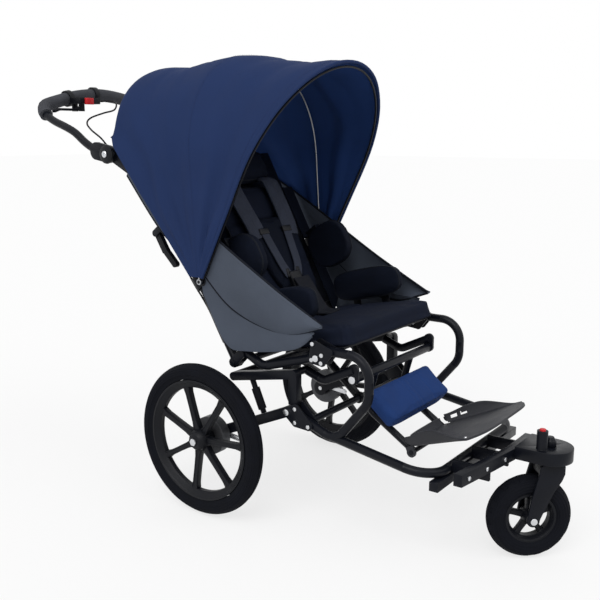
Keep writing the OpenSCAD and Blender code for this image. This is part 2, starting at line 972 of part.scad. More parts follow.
// Back frame, which reclines on the seat frame and carries the handle
back_top = on_back(398, 0);
back_path = [recline_pivot, back_origin, back_top];
module back_frame() {
    lug_out = frame_y - gap / 2;
    stud_r = 5;
    lever_in = frame_y - lever_half - gap;
    lever_out = frame_y + lever_half + gap;
    color("#202124") {
        placed() {
            both_sides() {
                difference() {
                    union() {
                        tube_xz(back_path, [90], tube_d, frame_y);
                        bar_y(recline_pivot, 14, plate_in + gap, plate_out - gap);
                    }
                    bar_y(recline_pivot, pivot_r + running, plate_in - 1, plate_out + 1);
                }
                plate_y(plate_in - 0.5, lug_out)
                    link_2d(on_back(385, 0), handle_pivot, 17);
                bar_y(handle_pivot, pivot_r, lug_out - 2, plate_out + 2);
                bar_y(handle_pivot, pivot_r + 3, plate_out + gap, plate_out + 4);
                for (up = [262, 330])
                    bar_y(on_back(up, 0), stud_r, frame_y, panel_in + panel_t);
            }
            for (up = back_crosses)
                bar_y(on_back(up, 0), cross_r, -frame_y, frame_y);
            mirror([0, 1, 0]) {
                for (y = [lever_in - 5, lever_out])
                    plate_y(y, y + 5)
                        link_2d(on_back(212, 0), lever_pivot, 9);
                bar_y(lever_pivot, cam_r, lever_in - 3, lever_out + 3);
            }
        }
        lateral_brackets();
    }
}

// Children drawn with x up a leaning plane, y across and z out of its front
module leaning(at, lean) {
    placed()
        translate([at[0], 0, at[1]])
            rotate([0, -90 - lean, 0])
                mirror([0, 0, 1])
                    mirror([0, 1, 0])
                        children();
}

// Board behind the back cushion and headrest, on arms clipped round the cross tubes
board_t = 5;
board_len = 484;
bracket_in = plate_in - 10;
module back_board() {
    board_w = 2 * (bracket_in - 4);
    arm_y = 110;
    arm_t = 8;
    arm_r = 12;
    color("#202124") {
        leaning(on_rest(4, 0), rest_lean)
            translate([0, -board_w / 2, -board_t])
                cube([board_len, board_w, board_t]);
        placed()
            both_sides()
                difference() {
                    plate_y(arm_y - arm_t / 2, arm_y + arm_t / 2)
                        for (up = back_crosses) {
                            from = on_back(up, 0);
                            link_2d(from, on_rest((from - rest_origin) * rest_up, -arm_r - 2), arm_r);
                        }
                    for (up = back_crosses)
                        bar_y(on_back(up, 0), cross_r + running, arm_y - arm_t, arm_y + arm_t);
                }
    }
}

// Back cushion, between the lateral pads, with the headrest above it
lateral_in = thigh_in - 36;
back_w = 2 * (lateral_in - 2);
back_len = 370;
back_start = 6;
head_len = 104;
head_w = 250;
head_t = 46;
module back_cushion() {
    color("#1b1f29")
        leaning(on_rest(back_start + back_len / 2, gap), rest_lean)
            cushion(back_len, back_w, back_t, 0.35, 0.02, 14, 14);
}

module headrest() {
    color("#20242e")
        leaning(on_rest(back_start + back_len + 8 + head_len / 2, gap), rest_lean)
            cushion(head_len, head_w, head_t, 0.4, 0.05, 8, 10);
}

// Pads beside the chest and the back cushion
lateral_len = 132;
lateral_depth = 140;
lateral_at = on_rest(150, 16 + lateral_depth / 2);
strip_t = 3;
module lateral_pads() {
    color("#191c24")
        placed()
            both_sides()
                translate([lateral_at[0], lateral_in + pad_t, lateral_at[1]])
                    rotate([90, -90 - rest_lean, 0])
                        cushion(lateral_len, lateral_depth, pad_t, 0.4, 0.06, 8, 8);
}

// Strips that carry the chest pads round the edge of the back cushion
module lateral_brackets() {
    strip_w = 24;
    root = -6;
    hold = 40;
    out = bracket_in;
    inner = lateral_in + pad_t + gap;
    reach = (lateral_at - back_origin) * back_front;
    both_sides()
        leaning(on_back(clamp_high + 6, 0), back_lean) {
            translate([0, inner, reach - strip_t])
                cube([strip_w, out - inner + 1, strip_t]);
            translate([0, out, root])
                cube([strip_w, strip_t, reach - root]);
            translate([0, out, root])
                cube([strip_w, frame_y - out, strip_t]);
            translate([0, inner, reach - hold])
                cube([strip_w, strip_t, hold]);
        }
}

// Harness: two flat shoulder straps and the chest piece that joins them
strap_w = 38;
strap_y = 80;
strap_len = 98;
chest_len = 220;
chest_w = 210;
chest_t = 12;
chest_up = 160;
harness_off = back_t + gap + 0.6;
module shoulder_straps() {
    color("#5a5f69")
        both_sides()
            leaning(on_rest(chest_up + chest_len / 2 + 3, harness_off), rest_lean)
                translate([0, strap_y - strap_w / 2, 0])
                    cube([strap_len, strap_w, strip_t]);
}

module chest_harness() {
    color("#16181d")
        leaning(on_rest(chest_up, harness_off), rest_lean)
            cushion(chest_len, chest_w, chest_t, 0.5, 0.16, 10, 10);
}

// Side panels: a lower flap and an upper one that laps over it, outside the tubes
panel_in = plate_out + plate_t + bolt_head + 0.5;
panel_t = 2.2;
upper_flap_top = [[342, 534], [187, 616], [38, 703], [-90, 778], [-190, 830], [-284, 874]];
upper_flap_low = [[342, 531], [228, 500], [70, 542], [-58, 652], [-160, 712], [-288, 858]];
lower_flap_top = [[318, 514], [228, 517], [110, 545], [24, 600]];
lower_flap_low = [[312, 505], [258, 466], [100, 444], [20, 584]];

module flap(top, low, y) {
    steps = 4;
    rows = 3;
    tops = curve(top, steps);
    lows = curve(low, steps);
    function skin(off) = [for (i = [0 : len(tops) - 1]) [for (j = [0 : rows])
        let (at = lows[i] + (tops[i] - lows[i]) * j / rows)
        [at[0], y + off, at[1]]]];
    between_grids(skin(panel_t), skin(0));
}

module side_panels() {
    color("#525a67")
        placed()
            both_sides() {
                flap(lower_flap_top, lower_flap_low, panel_in);
                flap(upper_flap_top, upper_flap_low, panel_in + panel_t + gap);
            }
}

// Clamps on the back tubes that the hood's bows turn on
bow_front_y = panel_in + 2 * panel_t + 1.1 + bow_d / 2;
bow_mid_y = bow_front_y + bow_d + 0.5;
pin_r = 4;
eye_r = 6;
clamp_low = 10;
clamp_high = 44;
module canopy_clamps() {
    low = on_back(clamp_low, 0);
    grip_r = tube_r + 5;
    color("#17181a")
        placed()
            both_sides()
                difference() {
                    union() {
                        translate([low[0], frame_y, low[1]])
                            rotate([0, -back_lean, 0])
                                cylinder(r = grip_r, h = clamp_high - clamp_low);
                        plate_y(frame_y - 6, frame_y + 6)
                            link_2d(on_back((clamp_low + clamp_high) / 2, 0), hood_pivot, 12);
                        bar_y(hood_pivot, 12, frame_y, bow_front_y - bow_d / 2 - gap);
                        bar_y(hood_pivot, pin_r, frame_y, bow_mid_y + bow_d / 2 + 0.5);
                    }
                    translate([back_origin[0], frame_y, back_origin[1]])
                        rotate([0, -back_lean, 0])
                            cylinder(r = tube_r + running, h = 100);
                }
}

// Hand lever behind the right back tube that frees the recline
lever_half = 7;
lever_pivot = on_back(212, -38);
module recline_lever() {
    low = on_back(112, -40);
    mid = on_back(160, -45);
    color("#17181a")
        placed()
            mirror([0, 1, 0])
                difference() {
                    plate_y(frame_y - lever_half, frame_y + lever_half) {
                        link_2d(lever_pivot, mid, 9);
                        link_2d(mid, low, 8);
                    }
                    bar_y(lever_pivot, cam_r + running, frame_y - 20, frame_y + 20);
                }
}

// Hood cloth: three hoops of cloth, at the rear, over the middle bow and at the front edge
hood_low = 612;
rear_wall_x = -340;
function rear_x(z) = max(rear_wall_x, back_origin[0] - (z - back_origin[1]) * tan(back_lean) + 18);
function mid_bow_x(z) = hood_pivot[0] - (z - hood_pivot[1]) * 0.06;
function front_x(z) = hood_pivot[0] + 8 + (z - hood_pivot[1]) * 0.5;
hood_rear_top = hood_top - 26;
hood_front_top = hood_top - 31;

// Arch across the hood: t runs from 0 on the right, over the top at 0.5, to 1 on the left
function arch_y(t, half, squarer) =
    let (a = min(max((t - 0.3) / 0.4, 0), 1) * 180)
    -half * sign(cos(a)) * pow(abs(cos(a)), squarer);
function arch_z(t, half, top, squarer) =
    let (a = min(max((t - 0.3) / 0.4, 0), 1) * 180, spring = top - half)
    t < 0.3 ? hood_low + (spring - hood_low) * t / 0.3 :
    t > 0.7 ? hood_low + (spring - hood_low) * (1 - t) / 0.3 : spring + half * pow(sin(a), squarer);
function rear_edge(t, half, top) =
    let (z = arch_z(t, half, top, 0.75)) [rear_x(z), arch_y(t, half, 0.75), z];
function mid_edge(t, half, top) =
    let (z = arch_z(t, half, top, 0.9)) [mid_bow_x(z), arch_y(t, half, 0.9), z];
function front_edge(t, half, top) =
    let (z = arch_z(t, half, top, 1)) [front_x(z), arch_y(t, half, 1), z];

arch_steps = 32;
crease = 2.5;
// Ruled cloth between two edges, with shallow creases that fade at both bows
function cloth(from, to, steps, off) = [for (i = [0 : steps]) [for (j = [0 : arch_steps])
    let (k = i / steps, t = j / arch_steps, at = from[j] + (to[j] - from[j]) * k,
         loose = min(max((at[2] - hood_low - 60) / 250, 0), 1),
         dip = off + crease * loose * sin(180 * k) * (1 + sin(360 * 3.5 * t)))
    at - dip * unit([0, at[1], max(at[2] - hood_top + hood_y, 0)])]];
function edge_points(kind, grow) = [for (j = [0 : arch_steps])
    let (t = j / arch_steps)
    kind == "rear" ? rear_edge(t, hood_y + grow, hood_rear_top + grow) :
    kind == "mid" ? mid_edge(t, hood_y + grow, hood_top + grow) :
    front_edge(t, hood_y + grow, hood_front_top + grow)];

module canopy_rear() {
    color("#2d427a")
        placed()
            between_grids(cloth(edge_points("rear", 0), edge_points("mid", 0), 6, 0),
                          cloth(edge_points("rear", 0), edge_points("mid", 0), 6, hood_t));
}

module canopy_front() {
    lift = [1, 0, 0.1];
    color("#2d427a")
        placed()
            translate(gap * lift)
                between_grids(cloth(edge_points("mid", 0), edge_points("front", 0), 6, 0),
                              cloth(edge_points("mid", 0), edge_points("front", 0), 6, hood_t));
}

// Flat panel that closes the hood at the rear
module canopy_back() {
    low = hood_rear_top - 226;
    spread = 200;
    arch_low = low + 38;
    inset = hood_t + gap;
    arch = [for (j = [0 : arch_steps])
        let (p = rear_edge(j / arch_steps, hood_y - inset, hood_rear_top - inset))
        if (p[2] > arch_low) [p[1], p[2]]];
    color("#1a2750")
        placed()
            translate([rear_wall_x + gap, 0, 0])
                rotate([90, 0, 90])
                    linear_extrude(hood_t)
                        polygon(concat([[-spread, low]], arch, [[spread, low]]));
}

// Bow rod inside the cloth, with flat eyes on the clamp pins
module bow(kind, y, shade) {
    inset = hood_t + bow_d / 2 + 2 * crease + 1.5;
    top = (kind == "mid" ? hood_top : hood_front_top) - inset;
    rod = [for (j = [1 : 1 : arch_steps - 1])
        let (t = j / arch_steps)
        kind == "mid" ? mid_edge(t, y, top) : front_edge(t, y, top)];
    foot = [rod[0][0], rod[0][2]];
    eye_half = bow_d / 2 - waist;
    color(shade)
        placed() {
            swept(rod, bow_d, 8, [1, 0, 0.2]);
            both_sides()
                difference() {
                    plate_y(y - eye_half, y + eye_half)
                        link_2d(hood_pivot, foot, eye_r);
                    bar_y(hood_pivot, pin_r + running, y - 10, y + 10);
                }
        }
}

module bow_mid() {
    bow("mid", bow_mid_y, "#9aa0a8");
}

module bow_front() {
    bow("front", bow_front_y, "#1d1e21");
}

// Push handle: a loop of tube, its middle raised, on the handle pivots
bar_z = 1084;
corner_z = 1046;
handle_half = [[-402, 235, 915], [-440, 235, 924], [-480, 235, 943], [-520, 235, 969], [-562, 235, 986],
               [-608, 234, 1001], [-650, 230, 1020], [-678, 214, corner_z - 6], [-688, 190, corner_z + 6],
               [bar_x, 120, bar_z - 14], [bar_x, 60, bar_z - 4], [bar_x, 0, bar_z]];
handle_points = concat([for (p = handle_half) [p[0], -p[1], p[2]]],
                       [for (i = [len(handle_half) - 2 : -1 : 0]) handle_half[i]]);

module handle_tube() {
    lug_in = frame_y + gap / 2;
    lug_out = plate_out - waist;
    color("#1d1e21")
        placed() {
            swept(curve(handle_points, 3), handle_d, 14, [0.3, 0, 1]);
            both_sides()
                difference() {
                    plate_y(lug_in, lug_out)
                        link_2d(handle_pivot, [-424, 920], 24);
                    bar_y(handle_pivot, pivot_r + running, frame_y - 20, frame_y + 20);
                }
        }
}

module handle_grip() {
    grip = [for (p = curve(handle_points, 3)) if (p[0] < -640) p];
    slack = 1;
    color("#202225")
        placed()
            swept_sleeve(grip, grip_d, handle_d + slack, 14, [0.3, 0, 1]);
}

// Brake lever under the bar, its clamps and the red parking catch
lever_y = -118;
lever_z = 1040;
lever_x0 = -656;
lever_x1 = -632;
lever_pin_r = 3;
body_z = 1054;
body_front = -624;
body_end = -50;

// Clamp ring round the grip, square to the bar's slope there
module bar_clamp(y, z, slope) {
    translate([bar_x, y, z])
        rotate([-90 + slope, 0, 0])
            difference() {
                cylinder(r = grip_d / 2 + clamp_t, h = 16, center = true);
                cylinder(r = grip_d / 2 + 1, h = 18, center = true);
            }
}

module lever_clamp() {
    lug_t = 6;
    color("#17181a")
        placed() {
            bar_clamp(lever_y, bar_z - 13.6, 10);
            bar_clamp(-20, bar_z - 0.5, 2);
            translate([bar_x + grip_d / 2 + 2, lever_y - 9, body_z])
                cube([body_front - bar_x - grip_d / 2 - 2, 18, 18]);
            translate([lever_x0, lever_y - 9, body_z])
                cube([body_front - lever_x0, body_end - lever_y + 9, 18]);
            for (x = [lever_x0 - gap - lug_t, lever_x1 + gap])
                translate([x, lever_y - 9, lever_z - 8])
                    cube([lug_t, 18, body_z - lever_z + 9]);
            translate([lever_x0 - gap - lug_t, lever_y, lever_z])
                rotate([0, 90, 0])
                    cylinder(r = lever_pin_r, h = lever_x1 - lever_x0 + 2 * (gap + lug_t));
        }
}

module brake_lever() {
    blade_t = 7;
    blade_l = 72;
    color("#1d1e21")
        placed()
            translate([lever_x0, lever_y, lever_z])
                difference() {
                    union() {
                        rotate([0, 90, 0])
                            cylinder(r = 7, h = lever_x1 - lever_x0);
                        translate([5, -blade_l, -blade_t])
                            cube([lever_x1 - lever_x0 - 10, blade_l, blade_t]);
                        translate([5, -blade_l, -blade_t])
                            rotate([20, 0, 0])
                                translate([0, -18, 0])
                                    cube([lever_x1 - lever_x0 - 10, 20, blade_t]);
                    }
                    translate([-10, 0, 0])
                        rotate([0, 90, 0])
                            cylinder(r = lever_pin_r + running, h = 60);
                }
}

module parking_catch() {
    color("#c0282d")
        placed()
            translate([body_front + gap, lever_y + 8, body_z - 2])
                cube([11, 26, 19]);
}

// Brake cable in two runs that meet at the handle's hinge: a free loop from the lever's body,
// then down behind the right back tube to the recline hinge
loop_route = [[-640, body_end + 2 * gap, 1063], [-640, body_end + 15, 1063], [-616, -20, 1064],
              [-574, -32, 1056], [-552, -60, 1036], [-564, -92, 1026], [-578, -128, 1012],
              [-560, -158, 996], [-512, -184, 977], [-455, -200, 955], [-415, -210, 932],
              [-383, -214, 914.5]];
cable_off = tube_r + cable_d / 2 + gap;
low_dir = unit(recline_pivot - back_origin);
low_behind = [low_dir[1], -low_dir[0]];
function behind_back(up, more) =
    let (at = on_back(up, -cable_off - more)) [at[0], -frame_y, at[1]];
function behind_low(down, more) =
    let (at = back_origin + down * low_dir + (cable_off + more) * low_behind) [at[0], -frame_y, at[1]];
back_route = concat([[-373, -214, 909], [-345, -216, 893], [-305, -222, 846], behind_back(338, 1.5)],
                    [for (up = [290, 200, 110, 84]) behind_back(up, 0)],
                    [behind_back(56, 5), behind_back(27, 6.5), behind_low(10, 4.5)],
                    [for (down = [50, 95, 140]) behind_low(down, 0)]);

module brake_cable() {
    color("#121316")
        placed()
            swept(curve(loop_route, 4), cable_d, 8, [0.1, 0.2, 1]);
}

module cable_back() {
    color("#121316")
        placed()
            swept(curve(back_route, 3), cable_d, 8, [0, 1, 0]);
}

tyre(-1);  // tyre_right
tyre(1);  // tyre_left
rim(-1);  // rim_right
rim(1);  // rim_left
wheel_axle(-1);  // axle_right
wheel_axle(1);  // axle_left
swing_arm(-1);  // swing_arm_right
swing_arm(1);  // swing_arm_left
drum_brake(-1);  // drum_brake_right
drum_brake(1);  // drum_brake_left
brake_arm(-1);  // brake_arm_right
brake_arm(1);  // brake_arm_left
strut(-1);  // strut_right
strut(1);  // strut_left
side_hoops();
frame_plates();
lower_frame();
rear_arms();
cross_tubes();
legrest_rails();
caster_beam();
caster_nose();
lock_button();
frame_bolts();
caster_fork();
caster_axle();
caster_tyre();
caster_rim();
seat_frame();
seat_pan();
seat_cushion();
thigh_pads();
gas_cylinder();
gas_rod();
legrest_frame();
calf_pad();
footplate();
back_frame();
back_board();
back_cushion();
headrest();
lateral_pads();
shoulder_straps();
chest_harness();
side_panels();
canopy_clamps();
recline_lever();
canopy_rear();
canopy_front();
canopy_back();
bow_mid();
bow_front();
handle_tube();
handle_grip();
lever_clamp();
brake_lever();
parking_catch();
brake_cable();
cable_back();
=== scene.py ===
"""Dresses the special needs buggy: wheels, cloth, padding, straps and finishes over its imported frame."""

import json
import logging
import math
from collections.abc import Callable, Iterator, Sequence
from contextlib import contextmanager
from dataclasses import dataclass, field
from enum import Enum
from functools import cache

import bpy
from mathutils import Matrix, Vector, noise

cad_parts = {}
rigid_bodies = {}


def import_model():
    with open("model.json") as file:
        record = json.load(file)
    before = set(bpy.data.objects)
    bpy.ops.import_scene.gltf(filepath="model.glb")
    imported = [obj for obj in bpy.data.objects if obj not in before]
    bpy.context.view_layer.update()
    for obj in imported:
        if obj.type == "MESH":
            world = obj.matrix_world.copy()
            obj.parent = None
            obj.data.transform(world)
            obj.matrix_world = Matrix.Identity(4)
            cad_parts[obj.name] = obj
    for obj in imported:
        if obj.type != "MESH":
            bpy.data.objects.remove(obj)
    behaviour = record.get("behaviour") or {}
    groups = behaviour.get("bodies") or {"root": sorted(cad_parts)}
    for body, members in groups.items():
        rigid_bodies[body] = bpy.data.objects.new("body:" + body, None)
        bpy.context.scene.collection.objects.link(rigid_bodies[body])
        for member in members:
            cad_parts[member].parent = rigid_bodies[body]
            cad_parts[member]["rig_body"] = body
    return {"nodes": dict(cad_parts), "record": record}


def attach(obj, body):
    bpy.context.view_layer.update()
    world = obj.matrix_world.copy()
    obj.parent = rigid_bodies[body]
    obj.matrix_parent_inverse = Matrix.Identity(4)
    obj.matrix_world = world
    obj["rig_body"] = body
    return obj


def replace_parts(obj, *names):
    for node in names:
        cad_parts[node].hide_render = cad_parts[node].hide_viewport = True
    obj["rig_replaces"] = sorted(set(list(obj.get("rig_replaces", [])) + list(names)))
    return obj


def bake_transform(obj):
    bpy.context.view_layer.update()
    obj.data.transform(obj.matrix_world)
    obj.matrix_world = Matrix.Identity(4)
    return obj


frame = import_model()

LOG = logging.getLogger("buggy")
MIDDLE = 68.0  # from the rear axle forward to the part's own origin, in mm
FRAME_Y = 235.0  # from the middle of the buggy out to its side tubes, in mm
BACK_BEND = Vector((-40.0, 570.0))  # where the back tubes bend, in mm
BACK_HINGE = Vector((62.0, 400.0))  # where the back reclines, in mm
BACK_LEAN = math.radians(39.7)  # lean of the back tubes above their bend
ACROSS = Vector((0, 1, 0))
Pair = tuple[float, float]
Triple = tuple[float, float, float]
Piece = bpy.types.Object


class Side(Enum):
    """Side of the buggy, with its sign along y."""

    RIGHT = -1
    LEFT = 1

    @property
    def word(self) -> str:
        """Name that the frame's nodes end with."""
        return self.name.lower()


class Kind(Enum):
    """What a finish is made of: its surface pattern, with the strength of its gloss."""

    PAINT = ("paint", 0.15)
    PLASTIC = ("plastic", 0.18)
    METAL = ("metal", 0.50)
    CLOTH = ("cloth", 0.08)
    WEBBING = ("webbing", 0.12)
    RUBBER = ("rubber", 0.07)
    FOAM = ("foam", 0.12)

    @property
    def gloss(self) -> float:
        """Strength of the reflection at the surface."""
        return self.value[1]


# Places and paths


def spot(x: float, y: float, z: float) -> Vector:
    """Turns millimetres from the rear axle on the floor into metres in the part's frame."""
    return Vector(((x - MIDDLE) / 1000, y / 1000, z / 1000))


def sloped(at: Vector, degrees: float) -> Matrix:
    """Frame at a point whose x axis runs forward and rises by a slope in degrees."""
    return Matrix.Translation(at) @ Matrix.Rotation(math.radians(-degrees), 4, "Y")


def leaning(at: Vector, degrees: float) -> Matrix:
    """Frame at a point whose x axis runs up a plane that leans back, and z out of its front.

    Args:
        at: The point, in metres.
        degrees: How far the plane leans back from upright.

    Returns:
        The frame's matrix.
    """
    lean = math.radians(degrees)
    up = Vector((-math.sin(lean), 0, math.cos(lean)))
    front = Vector((math.cos(lean), 0, math.sin(lean)))
    turned = Matrix((up, front.cross(up), front)).transposed().to_4x4()
    return Matrix.Translation(at) @ turned


def eased(points: Sequence[Vector], per: int = 8) -> list[Vector]:
    """Draws a smooth path through points.

    Args:
        points: Points that the path passes.
        per: Steps between two points.

    Returns:
        The path's points.
    """
    path = []
    for i in range(len(points) - 1):
        a = points[max(i - 1, 0)]
        b, c = points[i], points[i + 1]
        d = points[min(i + 2, len(points) - 1)]
        for j in range(per):
            k = j / per
            path.append(
                0.5 * (2 * b + (c - a) * k + (2 * a - 5 * b + 4 * c - d) * k**2 + (3 * b - a - 3 * c + d) * k**3)
            )
    return path + [points[-1].copy()]


def along(points: Sequence[Vector], share: float) -> Vector:
    """Point at a share of a path's length.

    Args:
        points: The path's points.
        share: Share of its length, from 0 to 1.

    Returns:
        The point on the path.
    """
    steps = [(b - a).length for a, b in zip(points, points[1:])]
    left = share * sum(steps)
    for a, b, step in zip(points, points[1:], steps):
        if left <= step:
            return a.lerp(b, left / step if step else 0)
        left -= step
    return points[-1].copy()


def path_length(points: Sequence[Vector]) -> float:
    """Length of a path in metres."""
    return sum((b - a).length for a, b in zip(points, points[1:]))


def ramp(value: float, low: float, high: float) -> float:
    """Smooth rise from 0 at low to 1 at high."""
    k = min(max((value - low) / (high - low), 0), 1)
    return k * k * (3 - 2 * k)


# Workshop: short ways to use the modelling operators


def clear() -> None:
    """Deselects everything."""
    bpy.ops.object.select_all(action="DESELECT")


def take(*pieces: Piece) -> None:
    """Selects pieces alone and makes the first one active.

    Args:
        pieces: Pieces to select.
    """
    clear()
    for piece in pieces:
        piece.select_set(True)
    bpy.context.view_layer.objects.active = pieces[0]


@contextmanager
def editing(piece: Piece, whole: bool = True) -> Iterator[None]:
    """Opens a piece for editing.

    Args:
        piece: Piece to open.
        whole: Whether all of it gets selected, or only its marked faces are.

    Yields:
        Nothing, while the piece is open.
    """
    take(piece)
    bpy.ops.object.mode_set(mode="EDIT")
    if whole:
        bpy.ops.mesh.select_all(action="SELECT")
    else:
        bpy.ops.mesh.select_mode(type="FACE")
    yield
    bpy.ops.object.mode_set(mode="OBJECT")


def started(name: str) -> Piece:
    """Names the active piece, such as a primitive that was just added, with its mesh.

    Args:
        name: Name of the piece.

    Returns:
        The piece.
    """
    piece = bpy.context.active_object
    piece.name = name
    piece.data.name = name
    return piece


def drawn(name: str, points: Sequence[Vector], edges: Sequence[tuple[int, int]], faces: Sequence) -> Piece:
    """Draws a mesh, such as an outline to be spun or extruded.

    Args:
        name: Name of the piece.
        points: Its points.
        edges: Edges between points.
        faces: Faces over points.

    Returns:
        The new object.
    """
    mesh = bpy.data.meshes.new(name)
    mesh.from_pydata([tuple(p) for p in points], list(edges), list(faces))
    piece = bpy.data.objects.new(name, mesh)
    bpy.context.scene.collection.objects.link(piece)
    return piece


def finished(piece: Piece, kind: str, **settings: object) -> Piece:
    """Adds a modifier and applies it.

    Args:
        piece: Piece to change.
        kind: Modifier type.
        settings: The modifier's values.

    Returns:
        The same piece.
    """
    modifier = piece.modifiers.new(kind.lower(), kind)
    for key, value in settings.items():
        setattr(modifier, key, value)
    take(piece)
    bpy.ops.object.modifier_apply(modifier=modifier.name)
    return piece


def rounded(piece: Piece, width: float, segments: int = 2) -> Piece:
    """Rounds a piece's sharp edges.

    Args:
        piece: Piece to change.
        width: Width of the rounding, in metres.
        segments: Steps of the rounding.

    Returns:
        The same piece.
    """
    return finished(
        piece, "BEVEL", width=width, segments=segments, limit_method="ANGLE", angle_limit=math.radians(38)
    )


def smoothed(piece: Piece, degrees: float = 38) -> Piece:
    """Shades a piece smooth where its faces meet below an angle.

    Args:
        piece: Piece to shade.
        degrees: Angle above which an edge stays sharp.

    Returns:
        The same piece.
    """
    take(piece)
    bpy.ops.object.shade_smooth_by_angle(angle=math.radians(degrees))
    return piece


def cleaned(piece: Piece, merge: float = 1e-6) -> Piece:
    """Merges doubled points and turns all faces outwards.

    Args:
        piece: Piece to clean.
        merge: Distance within which points merge, in metres.

    Returns:
        The same piece.
    """
    with editing(piece):
        bpy.ops.mesh.remove_doubles(threshold=merge)
        bpy.ops.mesh.normals_make_consistent(inside=False)
    return piece


def sunk(piece: Piece, pick: Callable[..., bool], rim: float, depth: float, each: bool = False) -> Piece:
    """Sinks some faces into a piece.

    Args:
        piece: Piece to change.
        pick: Test that picks the faces.
        rim: Width of the rim that stays, in metres.
        depth: How deep the faces sink, in metres.
        each: Whether each face sinks on its own.

    Returns:
        The same piece.
    """
    for face in piece.data.polygons:
        face.select = pick(face)
    with editing(piece, whole=False):
        bpy.ops.mesh.inset(thickness=rim, depth=-depth, use_individual=each)
    return piece


def joined(name: str, pieces: Sequence[Piece]) -> Piece:
    """Joins pieces into one.

    Args:
        name: Name of the joined piece.
        pieces: Pieces to join.

    Returns:
        The joined piece.
    """
    take(*pieces)
    bpy.ops.object.join()
    return started(name)


def placed(piece: Piece, where: Matrix) -> Piece:
    """Moves a piece's mesh and leaves its object at the origin.

    Args:
        piece: Piece to move.
        where: Matrix of the move.

    Returns:
        The same piece.
    """
    piece.data.transform(where)
    piece.data.update()
    return piece


def lathed(name: str, profile: Sequence[Pair], steps: int, where: Matrix) -> Piece:
    """Turns a closed profile round the y axis.

    Args:
        name: Name of the piece.
        profile: Radius and place along the axis, in mm.
        steps: Steps round the circle.
        where: Frame of the axis.

    Returns:
        The turned piece.
    """
    points = [Vector((r / 1000, y / 1000, 0)) for r, y in profile]
    count = len(points)
    piece = drawn(name, points, [(i, (i + 1) % count) for i in range(count)], [])
    with editing(piece):
        bpy.ops.mesh.spin(steps=steps, angle=math.tau, center=(0, 0, 0), axis=ACROSS)
    return placed(cleaned(piece), where)


def cut_out(name: str, outline: Sequence[Pair], low: float, high: float, edge: float) -> Piece:
    """Extrudes an outline in the x-z plane along y and rounds its edges.

    Args:
        name: Name of the piece.
        outline: Points in mm.
        low: Place of the first face along y, in mm.
        high: Place of the second face along y, in mm.
        edge: Rounding in mm.

    Returns:
        The piece, not yet placed.
    """
    points = [Vector((x / 1000, low / 1000, z / 1000)) for x, z in outline]
    piece = drawn(name, points, [], [range(len(points))])
    with editing(piece):
        bpy.ops.mesh.extrude_region_move(TRANSFORM_OT_translate={"value": (0, (high - low) / 1000, 0)})
    return rounded(cleaned(piece), edge / 1000)


def cube(name: str, size: Triple) -> Piece:
    """Cuts a plain block round the origin.

    Args:
        name: Name of the piece.
        size: Its three sizes in mm.

    Returns:
        The block.
    """
    clear()
    bpy.ops.mesh.primitive_cube_add(size=0.001)
    piece = started(name)
    with editing(piece):
        bpy.ops.transform.resize(value=size)
    return piece


def block(name: str, size: Triple, edge: float, where: Matrix) -> Piece:
    """Cuts a block with rounded edges.

    Args:
        name: Name of the piece.
        size: Its three sizes in mm.
        edge: Rounding in mm.
        where: Frame of its middle.

    Returns:
        The placed block.
    """
    return smoothed(placed(rounded(cube(name, size), edge / 1000, 3), where))


def rod(name: str, path: Sequence[Vector], radius: float, round_steps: int = 3) -> Piece:
    """Runs a round rod, cord or piping along a path.

    Args:
        name: Name of the piece.
        path: Its centre line, in metres.
        radius: Its radius in metres.
        round_steps: Fineness of its section.

    Returns:
        The rod as a mesh.
    """
    curve = bpy.data.curves.new(name, "CURVE")
    curve.dimensions = "3D"
    curve.bevel_depth = radius
    curve.bevel_resolution = round_steps
    curve.use_fill_caps = True
    line = curve.splines.new("POLY")
    line.points.add(len(path) - 1)
    for point, at in zip(line.points, path):
        point.co = (*at, 1)
    piece = bpy.data.objects.new(name, curve)
    bpy.context.scene.collection.objects.link(piece)
    take(piece)
    bpy.ops.object.convert(target="MESH")
    return smoothed(cleaned(started(name)), 50)


def spread(name: str, place: Callable[[float, float], Vector], across: int, rows: int) -> Piece:
    """Lays a grid of cloth.

    Args:
        name: Name of the piece.
        place: Point for two shares from 0 to 1.
        across: Faces along the first share.
        rows: Faces along the second share.

    Returns:
        The single sheet.
    """
    clear()
    bpy.ops.mesh.primitive_grid_add(x_subdivisions=across, y_subdivisions=rows, size=2)
    piece = started(name)
    for vertex in piece.data.vertices:
        vertex.co = place((vertex.co.x + 1) / 2, (vertex.co.y + 1) / 2)
    piece.data.update()
    return piece


def thickened(piece: Piece, thick: float, offset: float = 0.0) -> Piece:
    """Gives a sheet its thickness in metres and shades it smooth."""
    finished(piece, "SOLIDIFY", thickness=thick, offset=offset)
    return smoothed(piece, 60)


def ribbon(name: str, path: Sequence[Vector], wide: float, thick: float, crown: float = 0.0) -> Piece:
    """Lays a flat strap along a path, its width across the buggy.

    Args:
        name: Name of the piece.
        path: Centre line in metres.
        wide: Width in metres.
        thick: Thickness in metres.
        crown: Height of its middle above its edges, in metres.

    Returns:
        The strap.
    """
    last = len(path) - 1

    def place(s: float, t: float) -> Vector:
        """Point of the strap.

        Args:
            s: Share across.
            t: Share along.

        Returns:
            The point, in metres.
        """
        at = along(path, t)
        i = min(max(round(t * last), 1), last)
        run = (path[i] - path[i - 1]).normalized()
        side = (ACROSS - ACROSS.dot(run) * run).normalized()
        return at + side * (s - 0.5) * wide + side.cross(run) * crown * (1 - (2 * s - 1) ** 2)

    piece = spread(name, place, 6, max(12, last * 2))
    finished(piece, "SOLIDIFY", thickness=thick, offset=0)
    rounded(piece, thick * 0.25)
    return smoothed(cleaned(piece, 1e-7), 50)


